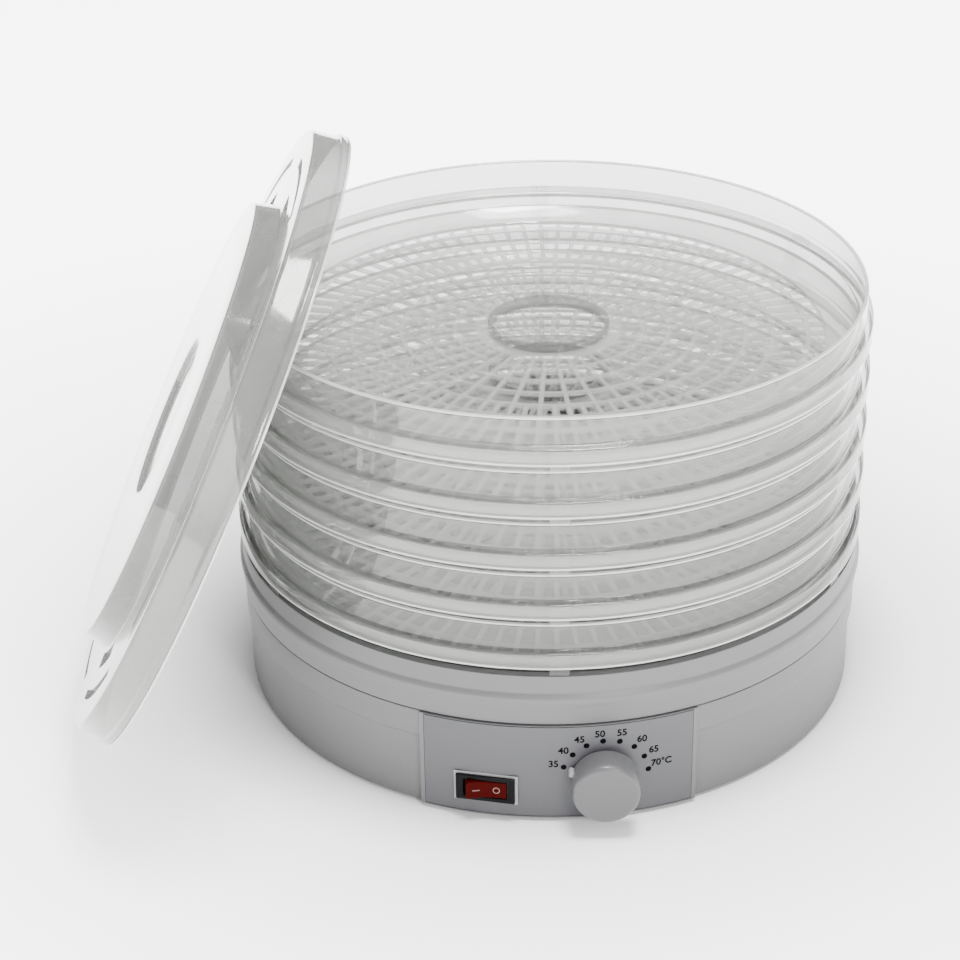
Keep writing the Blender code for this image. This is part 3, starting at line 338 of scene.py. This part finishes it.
def moulded(name, colour, roughness, grain=1.0, speck=0.04, **values):
    """Satin moulded plastic: faint cloudiness in its colour, fine grain and soft handling marks."""
    finish = Finish(name, **values)
    cloud = finish.noise(14.0, 4.0)
    shade = [channel * (1 - speck) for channel in colour]
    finish.set(Base_Color=finish.mix(cloud, shade, colour))
    marks = finish.noise(60.0, 5.0, 0.65, stretch=(1.0, 1.0, 4.0))
    finish.set(Roughness=(marks - 0.5) * 0.16 + roughness)
    return finish.bump(finish.noise(2600.0, 2.0) + finish.noise(220.0, 3.0) * 0.6, 0.06 * grain)


def metal(name, colour, roughness):
    finish = Finish(name, Metallic=1.0)
    streaks = finish.noise(120.0, 4.0, 0.6, stretch=(1.0, 1.0, 12.0))
    finish.set(Base_Color=finish.mix(streaks, [c * 0.8 for c in colour], colour))
    finish.set(Roughness=streaks * 0.2 + roughness)
    return finish.bump(streaks, 0.08)


def clear(name, tint, haze, roughness, passed):
    """Clear moulded plastic: mirror-like where seen aslant, faintly hazy, see-through for the rest."""
    finish = Finish(name)
    aslant = finish.node("ShaderNodeLayerWeight", {}, Blend=0.5, output="Facing")
    mirrored = aslant ** 5.0 * 0.9 + 0.06
    solid = (finish.noise(30.0, 4.0, 0.6) - 0.5) * (haze * 0.5) + mirrored + haze
    share = mirrored.maths("DIVIDE", mirrored, solid)
    finish.set(Metallic=share, Base_Color=finish.mix(share, tint, (0.74, 0.76, 0.73)))
    finish.set(Roughness=finish.noise(45.0, 5.0, 0.6) * 0.1 + roughness)
    finish.bump(finish.noise(35.0, 3.0), 0.14, 0.0006)
    return finish.see_through(solid, (passed,) * 3)


BASE = moulded("base_finish", (0.13, 0.13, 0.132), 0.4)
PANEL = moulded("panel_finish", (0.082, 0.082, 0.09), 0.46)
KNOB = moulded("knob_finish", (0.1, 0.1, 0.104), 0.36)
PRINT = moulded("print_finish", (0.002, 0.002, 0.002), 0.7, Specular_IOR_Level=0.03)
BORDER = moulded("border_finish", (0.32, 0.32, 0.33), 0.5)
BLACK = moulded("bezel_finish", (0.003, 0.003, 0.003), 0.3, Specular_IOR_Level=0.08)
RED = moulded("rocker_finish", (0.045, 0.0008, 0.0006), 0.3, Specular_IOR_Level=0.03)
MARK = moulded("mark_finish", (0.2, 0.12, 0.11), 0.4)
RUBBER = moulded("rubber_finish", (0.03, 0.03, 0.03), 0.75, grain=2.0)
STEEL = metal("steel_finish", (0.6, 0.6, 0.6), 0.22)
BRASS = metal("brass_finish", (0.75, 0.6, 0.3), 0.22)
WIRE = metal("wire_finish", (0.4, 0.37, 0.35), 0.3)
MICA = moulded("mica_finish", (0.62, 0.52, 0.36), 0.6, grain=2.0, speck=0.3)
CERAMIC = moulded("ceramic_finish", (0.75, 0.75, 0.72), 0.45)
LEAD_RED = moulded("lead_red_finish", (0.5, 0.04, 0.03), 0.45)
LEAD_BLUE = moulded("lead_blue_finish", (0.04, 0.1, 0.4), 0.45)
CLEAR = clear("clear_finish", (0.4, 0.41, 0.385), 0.08, 0.02, passed=0.84)
LUGS = clear("lug_finish", (0.5, 0.51, 0.485), 0.02, 0.02, passed=1.0)
# Brighter, hazier clear plastic for the edge rings of the trays and the lid: a painted highlight.
EDGE = clear("edge_painted_highlight_finish", (0.8, 0.81, 0.78), 0.55, 0.06, passed=0.95)
LID = clear("lid_finish", (0.26, 0.27, 0.25), 0.42, 0.02, passed=0.68)
MESH = clear("mesh_finish", (0.62, 0.63, 0.6), 0.3, 0.05, passed=0.97)

for slot_name, finish in (
        ("base_plastic", BASE), ("panel_plastic", PANEL), ("knob_plastic", KNOB),
        ("clear_plastic", CLEAR), ("black_plastic", BLACK), ("red_plastic", RED), ("rubber", RUBBER),
        ("steel", STEEL), ("brass", BRASS), ("mica", MICA), ("nichrome", WIRE),
        ("white_plastic", CERAMIC), ("wire_red", LEAD_RED), ("wire_blue", LEAD_BLUE)):
    for row in frame["record"]["subparts"]:
        if row["material_slot"] == slot_name:
            for material_slot in NODES[row["node"]].material_slots:
                material_slot.material = finish.material


def finished(obj, finish, body, slot, *replaced):
    """Gives a piece its finish, its body and the CAD nodes that it stands for."""
    obj.data.materials.clear()
    obj.data.materials.append(finish.material)
    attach(obj, body)
    if replaced:
        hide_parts(*replaced)
    return obj


# ---- Base -----------------------------------------------------------------------------------
BODY_R, STRIP_R, BLOCK_R, BEAD_R, NECK_R = 162.2, 163.8, 165.0, 165.8, 164.2
BLOCK_HALF = 24.4           # half the panel block's width, in degrees round the base
RECESS_HALF, RECESS_R = 23.6, 163.0
RECESS_LOW, RECESS_HIGH = 2.7, 55.6
WALL = 2.8
SEAM_Z = 56.5
DECK_Z = 74.0
RIM_Z = 84.2
BORE_R = 159.9


def base_pieces():
    inner = BODY_R - WALL
    housing = turn_about(rounded([
        (STRIP_R, SEAM_Z - 0.5), (STRIP_R, 41.6), (BODY_R, 39.8), (BODY_R, 1.5), (inner, 1.5),
        (inner, 6.8), (155.0, 6.8), (155.0, 9.3), (inner, 9.3), (inner, SEAM_Z - 0.5)], 0.8),
        "housing_wall")
    inlet = move(disc("inlet_cut", 6.3, -10, 10), shift(0, BODY_R, 22) @ turn(90, "X"))
    cut(housing, inlet)
    front = turn_about([(BLOCK_R, 56.0), (BLOCK_R, RECESS_HIGH), (BLOCK_R, RECESS_LOW), (BLOCK_R, 1.9),
                        (160.6, 1.9), (160.6, 56.0)], "panel_surround", steps=61, sweep=2 * BLOCK_HALF,
                       start=FRONT - BLOCK_HALF)
    sink_panel_recess(front)
    bevel(front, 0.35, 2, 40)
    smooth()
    cut(front, *panel_cuts())
    finished(housing, BASE, "base", "base_plastic", "base_housing")
    finished(front, BASE, "base", "base_plastic", "base_housing")

    cover = turn_about(rounded([
        (NECK_R, RIM_Z), (NECK_R, 74.4), (165.0, 73.2), (BEAD_R, 71.6), (BEAD_R, 69.0), (165.1, 66.4),
        (164.1, SEAM_Z), (161.0, SEAM_Z), (161.0, 71.6), (62.0, 71.6), (62.0, 36.0), (56.0, 36.0),
        (56.0, 54.0), (58.0, 54.0), (58.0, 71.7), (60.4, 71.7), (60.4, DECK_Z), (BORE_R, DECK_Z),
        (BORE_R, RIM_Z)], 0.7), "base_top")
    finished(cover, BASE, "base", "base_plastic", "top_cover")


def sink_panel_recess(front):
    """Pushes the outer faces inside the block's border inwards, for the panel."""
    only(front)
    bpy.ops.object.mode_set(mode="EDIT")
    bpy.ops.mesh.select_all(action="DESELECT")
    bpy.ops.object.mode_set(mode="OBJECT")
    for face in front.data.polygons:
        x, y, z = face.center / MM
        angle = math.degrees(math.atan2(y, x)) - FRONT
        outer = math.hypot(x, y) > BLOCK_R - 0.5
        face.select = outer and abs(angle) < RECESS_HALF and RECESS_LOW < z < RECESS_HIGH
    bpy.ops.object.mode_set(mode="EDIT")
    bpy.ops.mesh.extrude_region_move()
    scale = RECESS_R / BLOCK_R
    bpy.ops.transform.resize(value=(scale, scale, 1), center_override=(0, 0, 0))
    tidy_mesh()


def panel_cuts():
    window = block("switch_cut", (-13.9, -175, -6.4), (13.9, -145, 6.4))
    move(window, turn(SWITCH_TURN) @ shift(0, 0, SWITCH_Z))
    hole = move(disc("shaft_cut", 5.2, -20, 20), shift(DIAL_X, -BODY_R, KNOB_Z) @ turn(90, "X"))
    return window, hole


# ---- Control panel --------------------------------------------------------------------------
PANEL_R = 165.1
SWITCH_TURN = -12.6
SWITCH_Z = 18.2
DIAL_X, DIAL_Z = 22.3, 24.8
KNOB_Z = 25.7
DIAL_R = 21.6
# Each mark's text, and the text's distance and bearing from the dot.
MARKS = (("35", 5.3, 161), ("40", 5.1, 152), ("45", 5.0, 133), ("50", 4.4, 111),
         ("55", 5.0, 78), ("60", 5.4, 46), ("65", 5.6, 33), ("70°C", 7.1, 25))
FIRST_MARK, MARK_STEP = 159.6, 22.2         # degrees; the dots run clockwise from the first
TEXT_HEIGHT = 3.7
PRINT_LIFT = 0.05
PANEL_HALF = 23.5           # half the panel's width, in degrees


def on_panel(x, z):
    """From a flat drawing in XY to the curved panel, upright and facing out, at this x and height."""
    radius = PANEL_R + PRINT_LIFT
    angle = math.degrees(math.asin(x / radius))
    return turn(angle) @ shift(0, -radius, z) @ turn(90, "X")


def lettering(text, x, z):
    deselect()
    bpy.ops.object.text_add()
    obj = bpy.context.object
    obj.data.body = text
    obj.data.size = TEXT_HEIGHT * MM * 1.4        # a numeral is about 0.7 of the text's size
    obj.data.align_x, obj.data.align_y = "CENTER", "CENTER"
    obj.data.extrude = 0.06 * MM
    obj.data.offset = 0.1 * MM
    bpy.ops.object.convert(target="MESH")
    obj = bpy.context.object
    return move(obj, on_panel(x, z))


def panel_pieces():
    panel = turn_about(rounded([(PANEL_R, 55.25), (PANEL_R, 3.05), (163.3, 3.05), (163.3, 55.25)], 0.4),
                       "panel_plate", steps=94, sweep=2 * PANEL_HALF, start=FRONT - PANEL_HALF)
    cut(panel, *panel_cuts())
    finished(panel, PANEL, "base", "panel_plastic", "control_panel")

    pieces = []
    for index, (text, reach, bearing) in enumerate(MARKS):
        angle, aside = math.radians(FIRST_MARK - MARK_STEP * index), math.radians(bearing)
        x, z = DIAL_X + DIAL_R * math.cos(angle), DIAL_Z + DIAL_R * math.sin(angle)
        dot = disc(f"dot_{index}", 1.45, -0.06, 0.06, sides=24)
        pieces.append(move(dot, on_panel(x, z)))
        pieces.append(lettering(text, x + reach * math.cos(aside), z + reach * math.sin(aside)))
    scale = join("dial_scale", *pieces)
    finished(scale, PRINT, "base", "black_plastic")

    outline = frame_plate("switch_border", (32.0, 16.6), (29.0, 13.8), 0.12)
    move(outline, turn(SWITCH_TURN) @ shift(0, -PANEL_R - 0.02, SWITCH_Z) @ turn(90, "X"))
    finished(outline, BORDER, "base", "panel_plastic")


def frame_plate(name, outer, inner, thickness, fillet=0.0):
    """Rectangular frame lying in XY, thick along Z, made from an inset plane."""
    deselect()
    bpy.ops.mesh.primitive_plane_add(size=1)
    obj = bpy.context.object
    obj.name = obj.data.name = name
    bpy.ops.object.mode_set(mode="EDIT")
    bpy.ops.transform.resize(value=(outer[0] * MM, outer[1] * MM, 1))
    bpy.ops.mesh.inset(thickness=(outer[1] - inner[1]) / 2 * MM)
    bpy.ops.transform.resize(value=(inner[0] / (outer[0] - outer[1] + inner[1]), 1, 1))
    bpy.ops.mesh.delete(type="FACE")
    bpy.ops.object.mode_set(mode="OBJECT")
    apply_modifier(obj, "SOLIDIFY", thickness=thickness * MM, offset=1.0)
    if fillet:
        bevel(obj, fillet, 3)
        smooth()
    return obj


# The rocker: half its length, its width, its face above the pivot, the rise of its ends and its turn.
KEY_HALF, KEY_WIDTH, KEY_FACE, KEY_RISE = 10.0, 9.1, 3.4, 1.4
KEY_CURVE = 1.6
KEY_TURN = 11.0
PIVOT_R = 164.0
BEZEL_WINDOW = (21.8, 9.9)


def key_height(x):
    """The rocker's hollow face above its pivot, this far from the middle."""
    return KEY_FACE + KEY_RISE * (abs(x) / KEY_HALF) ** KEY_CURVE


def switch_pieces():
    out = turn(SWITCH_TURN) @ shift(0, -PANEL_R - 0.3, SWITCH_Z) @ turn(90, "X")
    bezel = frame_plate("switch_bezel", (29.6, 14.4), BEZEL_WINDOW, 1.6, 0.45)
    move(bezel, out)
    well = frame_plate("switch_well", (27.2, 12.2), BEZEL_WINDOW, 10.0)
    move(well, out @ shift(0, 0, -9.6))
    bottom = block("switch_bottom", (-13.6, -6.1, -19.4), (13.6, 6.1, -9.8), 0.4)
    move(bottom, out)
    tabs = [move(block(f"switch_tab_{i}", (x - 0.4, -2.4, -26.2), (x + 0.4, 2.4, -19.2)), out)
            for i, x in enumerate((-8.0, 0.0, 8.0))]
    case = join("switch_case", bezel, well, bottom, *tabs)
    finished(case, BLACK, "base", "black_plastic", "switch_body")

    face = []
    for step in range(13):
        x = KEY_HALF * (step / 6 - 1)
        face.append((x, key_height(x)))
    outline = face + [(KEY_HALF, -1.4), (3.0, -4.6), (0, -5.4), (-3.0, -4.6), (-KEY_HALF, -1.4)]
    rocker = extruded(outline, KEY_WIDTH, "rocker_key")
    bevel(rocker, 0.35, 3, 50)
    smooth()
    pivot = turn(SWITCH_TURN) @ shift(0, -PIVOT_R, SWITCH_Z) @ turn(KEY_TURN)
    move(rocker, pivot @ turn(90, "X"))       # the outline's height now points out of the panel
    finished(rocker, RED, "rocker", "red_plastic", "switch_rocker")

    dash = block("mark_on", (-1.8, -0.25, 0), (1.8, 0.25, 0.15))
    ring = turn_about([(1.8, 0.15), (1.8, 0.0), (1.35, 0.0), (1.35, 0.15)], "mark_off", steps=32)
    slope = math.degrees(math.atan(KEY_RISE * KEY_CURVE / KEY_HALF * 0.5 ** (KEY_CURVE - 1)))
    for mark, x in ((dash, -KEY_HALF / 2), (ring, KEY_HALF / 2)):
        lean = turn(math.copysign(slope, -x), "Y")
        move(mark, pivot @ turn(90, "X") @ shift(x, 0, key_height(x)) @ lean)
    finished(join("rocker_marks", dash, ring), MARK, "rocker", "red_plastic")


POINTER_TURN = 161.0        # the pointer's direction at rest, just short of the lowest mark


def knob_piece():
    back, front = 165.7, 180.7
    knob = turn_about(rounded([
        (0.0, front - 0.25), (12.6, front - 0.25), (14.2, front - 0.1), (16.2, front - 1.0),
        (16.8, front - 4.0), (16.8, back), (14.8, back), (14.4, front - 2.4), (6.0, front - 2.4),
        (6.0, 168.4), (3.16, 168.4), (3.16, front - 2.2), (0.0, front - 2.2)], 1.0, closed=False),
        "knob_shell", steps=96, closed=False)
    pointer = block("knob_pointer", (15.6, -1.3, back), (18.7, 1.3, back + 5.4), 0.5)
    move(pointer, turn(POINTER_TURN))
    for piece, finish in ((knob, KNOB), (pointer, BORDER)):
        move(piece, shift(DIAL_X, 0, KNOB_Z) @ turn(90, "X"))
        finished(piece, finish, "knob", "knob_plastic", "temperature_knob")


# ---- Trays ----------------------------------------------------------------------------------
RINGS = (142.7, 133.0, 115.0, 101.5, 89.0, 75.6, 62.0, 48.5, 37.0, 31.0)
RIBS = 84
COARSE_INSIDE = 89.0
RIB = 2.5
FLOOR_Z, FLOOR_THICK = -6.4, 2.0
TRAYS = range(1, 6)


def mesh_floor():
    """Flat annulus spun from a radial line, its cells inset and opened, then made thick."""
    obj = draw_line("mesh_floor", [(radius, FLOOR_Z) for radius in RINGS])
    bpy.ops.mesh.select_all(action="SELECT")
    bpy.ops.mesh.spin(steps=RIBS, angle=math.tau, center=(0, 0, 0), axis=(0, 0, 1))
    weld()
    bpy.ops.mesh.select_all(action="DESELECT")
    bpy.ops.mesh.select_mode(type="EDGE")
    bpy.ops.object.mode_set(mode="OBJECT")
    step = math.tau / RIBS
    for edge in obj.data.edges:
        a, b = (obj.data.vertices[i].co / MM for i in edge.vertices)
        middle = (a + b) / 2
        radial = abs(a.xy.length - b.xy.length) > 1.0
        column = round(math.atan2(middle.y, middle.x) / step) % 2
        edge.select = radial and column == 1 and middle.xy.length < COARSE_INSIDE
    bpy.ops.object.mode_set(mode="EDIT")
    bpy.ops.mesh.dissolve_edges(use_verts=False)
    bpy.ops.mesh.select_mode(type="FACE")
    bpy.ops.mesh.select_all(action="DESELECT")
    bpy.ops.object.mode_set(mode="OBJECT")
    for face in obj.data.polygons:
        face.select = face.center.xy.length / MM > RINGS[-2]
    bpy.ops.object.mode_set(mode="EDIT")
    bpy.ops.mesh.inset(thickness=RIB / 2 * MM, use_individual=True)
    bpy.ops.mesh.delete(type="FACE")
    bpy.ops.mesh.select_all(action="SELECT")
    bpy.ops.mesh.normals_make_consistent(inside=False)
    bpy.ops.object.mode_set(mode="OBJECT")
    up = sum(face.normal.z for face in obj.data.polygons) > 0
    apply_modifier(obj, "SOLIDIFY", thickness=FLOOR_THICK * MM, offset=-1.0 if up else 1.0)
    bevel(obj, 0.3, 1, 60)
    smooth()
    return obj


LUG_REACH = 10.0        # lugs below the skirt's edge
LUG_WIDTH = 10.0


def tray_wall():
    """The basket's wall with its skirt, and the ring round the centre hole."""
    wall = turn_about(rounded([
        (161.7, 22.2), (161.7, 9.6), (165.0, 8.4), (165.0, 1.2), (163.2, 1.2), (163.2, 6.8),
        (159.4, 6.8), (159.3, 5.2), (157.6, 5.2), (159.75, 22.2)], 0.7), "tray_wall")
    hub = turn_about(rounded([(31.3, -2.1), (31.3, -8.4), (29.5, -8.4), (29.5, -2.1)], 0.4), "tray_hub",
                     steps=96)
    return join("tray_wall", wall, hub)


def tray_lugs():
    lugs = []
    for angle in range(30, 360, 60):
        lug = extruded([(164.1, 7.2), (164.1, -3.8), (158.8, -3.8), (158.1, -LUG_REACH),
                        (153.5, -LUG_REACH), (153.5, -6.0), (157.6, 7.2)], LUG_WIDTH, "lug")
        bevel(lug, 0.4, 2, 40)
        lugs.append(move(lug, turn(angle)))
    return join("tray_lugs", *lugs)


def tray_corner():
    """The basket's lower end, its slanted corner and the flat ring that the mesh floor joins."""
    return turn_about(rounded([
        (159.3, 5.0), (158.6, -3.0), (152.2, -8.4), (142.5, -8.4), (142.5, -6.4), (150.8, -6.4),
        (156.6, -2.4), (157.58, 5.0)], 0.7), "tray_corner")


def tray_edges():
    """The thick edges of the rim and the skirt, as rings with a brighter, hazier finish: a painted
    highlight along them.
    """
    rim = [(161.7, 23.3), (161.7, 22.3), (159.77, 22.3), (159.9, 23.3)]
    hem = [(165.0, 1.1), (165.0, 0.0), (163.2, 0.0), (163.2, 1.1)]
    parts = [turn_about(rounded(outline, 0.3), "tray_edge") for outline in (rim, hem)]
    return join("tray_edges", *parts)


def tray_pieces():
    wall, corner, lugs = tray_wall(), tray_corner(), tray_lugs()
    edges, floor = tray_edges(), mesh_floor()
    for number in TRAYS:
        body = f"tray_{number}"
        rise = Matrix.Translation((0, 0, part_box(f"tray_wall_{number}")[0].z + LUG_REACH * MM))
        for pattern, name, finish, replaced in (
                (wall, "clear_wall", CLEAR, (f"tray_wall_{number}", f"tray_ring_{number}")),
                # The basket's corner takes the hazier mesh finish, lighter than the wall's, so that the
                # shaded gap under the skirt shows lighter: painted light.
                (corner, "clear_corner", MESH, ()), (lugs, "clear_lugs", LUGS, ()),
                (edges, "clear_edges", EDGE, ()),
                (floor, "clear_mesh", MESH, (f"tray_mesh_{number}",))):
            piece = copy_of(pattern, f"{name}_{number}", rise)
            finished(piece, finish, body, "clear_plastic", *replaced)
    for pattern in (wall, corner, lugs, edges, floor):
        bpy.data.objects.remove(pattern)


# ---- Lid ------------------------------------------------------------------------------------
LID_LEAN = 64.8
LID_R = 165.3
LID_X, LID_Y = -166.5, -39.0      # middle of the open edge
LID_GAP = 0.3
VENTS = ((145.0, 5.0, 29.0), (127.0, 8.0, 16.0))      # middle radius, width and span in degrees
VENT_COUNT = 8


def lid_piece():
    lid = turn_about(rounded([
        (0.0, 28.0), (41.0, 28.0), (43.0, 31.0), (117.0, 31.0), (120.0, 18.5), (160.9, 18.5),
        (161.9, 17.0), (163.4, 5.3), (LID_R, 4.5), (LID_R, 1.3), (163.3, 1.3), (163.3, 3.1),
        (161.4, 3.9), (159.9, 16.5), (118.5, 16.5), (115.5, 29.0), (44.5, 29.0), (42.5, 26.0),
        (0.0, 26.0)], 0.9, closed=False),
        "lid", closed=False)
    cutters = []
    for index in range(VENT_COUNT):
        for radius, width, span in VENTS:
            outer, inner = radius + width / 2, radius - width / 2
            corners = [(outer, 25.0), (outer, 10.0), (inner, 10.0), (inner, 25.0)]
            start = 360 / VENT_COUNT * index - span / 2
            cutters.append(turn_about(corners, "vent_cut", steps=12, sweep=span, start=start))
    cut(lid, join("vent_cuts", *cutters))
    rise = LID_R * math.sin(math.radians(LID_LEAN)) + LID_GAP
    edge = turn_about(rounded([(LID_R, 1.2), (LID_R, 0.0), (163.3, 0.0), (163.3, 1.2)], 0.3),
                      "lid_edge")
    for piece in (lid, edge):
        move(piece, shift(LID_X, LID_Y, rise) @ turn(-LID_LEAN, "Y"))
    finished(lid, LID, "lid", "clear_plastic", "lid")
    # The lid's edge ring takes the brighter finish: a painted highlight.
    finished(edge, EDGE, "lid", "clear_plastic")


base_pieces()
panel_pieces()
switch_pieces()
knob_piece()
tray_pieces()
lid_piece()


# ---- Floor, light and camera ----------------------------------------------------------------
# The floor's emission by distance from the middle: bright further out, and dim under and round the
# base, where it paints a contact shadow.
FLOOR_GLOW_AND_PAINTED_SHADOW = ((0.16, 0.015), (0.21, 0.22), (0.38, 0.65), (0.7, 1.0))     # distance in metres and level
SKY_STRENGTH = 0.5
LAMPS = (("overhead", (0.15, -0.2, 1.7), (0, 0, 0), (0.5, 0.5), 52.0),   # place, target, size and watts
         ("window", (0.75, -1.9, 1.05), (-0.1, 0, 0.15), (0.35, 0.5), 26.0))
CAMERA_PLACE = Vector((-0.0365, -1.1282, 0.7152))
CAMERA_PITCH, CAMERA_ROLL = math.radians(28.511), math.radians(-0.89)
SENSOR = 36.0
LENS_OVER_FRAME = 2408.6 / 960      # focal length for a frame of width 1


def studio():
    deselect()
    bpy.ops.mesh.primitive_plane_add(size=9)
    floor = bpy.context.object
    floor.name = "floor"
    paint = Finish("floor_finish", Roughness=0.75, Specular_IOR_Level=0.2, Emission_Strength=6.0)
    paint.set(Base_Color=paint.mix(paint.noise(3.0), (0.86, 0.86, 0.86), (0.88, 0.88, 0.88)))
    reach = paint.node("ShaderNodeVectorMath", {"operation": "LENGTH"}, paint.place, output="Value")
    # Painted shadow: the floor's emission is dim close to the base.
    glow_and_painted_shadow = [(position, (level,) * 3) for position, level in FLOOR_GLOW_AND_PAINTED_SHADOW]
    paint.set(Emission_Color=paint.node("ShaderNodeValToRGB", {"stops": glow_and_painted_shadow}, reach))
    floor.data.materials.append(paint.material)

    world = bpy.data.worlds.new("studio")
    bpy.context.scene.world = world
    world.use_nodes = True
    tree = world.node_tree
    direction = tree.nodes.new("ShaderNodeTexCoord")
    parts = tree.nodes.new("ShaderNodeSeparateXYZ")
    ramp = tree.nodes.new("ShaderNodeValToRGB")
    ramp.color_ramp.elements[0].color = (0.5, 0.5, 0.5, 1.0)
    ramp.color_ramp.elements[1].color = (1.0, 1.0, 1.0, 1.0)
    ramp.color_ramp.elements[1].position = 0.55
    tree.links.new(direction.outputs["Generated"], parts.inputs[0])
    tree.links.new(parts.outputs["Z"], ramp.inputs[0])
    sky = tree.nodes["Background"]
    tree.links.new(ramp.outputs[0], sky.inputs["Color"])
    sky.inputs["Strength"].default_value = SKY_STRENGTH
    for name, place, target, (width, height), power in LAMPS:
        lamp = bpy.data.lights.new(name, "AREA")
        lamp.shape = "RECTANGLE"
        lamp.size, lamp.size_y, lamp.energy = width, height, power
        stand = bpy.data.objects.new(name, lamp)
        bpy.context.scene.collection.objects.link(stand)
        stand.location = place
        stand.rotation_euler = (Vector(target) - Vector(place)).to_track_quat("-Z", "Y").to_euler()


def camera():
    pitch, roll = CAMERA_PITCH, CAMERA_ROLL
    level = Vector((1, 0, 0))
    up = Vector((0, math.sin(pitch), math.cos(pitch)))
    ahead = Vector((0, math.cos(pitch), -math.sin(pitch)))
    right = level * math.cos(roll) + up * math.sin(roll)
    top = up * math.cos(roll) - level * math.sin(roll)
    lens = bpy.data.cameras.new("camera")
    lens.sensor_width = SENSOR
    lens.lens = SENSOR * LENS_OVER_FRAME
    lens.clip_start, lens.clip_end = 0.05, 20.0
    obj = bpy.data.objects.new("camera", lens)
    bpy.context.scene.collection.objects.link(obj)
    matrix = Matrix((right, top, -ahead)).transposed().to_4x4()
    matrix.translation = CAMERA_PLACE
    obj.matrix_world = matrix
    bpy.context.scene.camera = obj


studio()
camera()
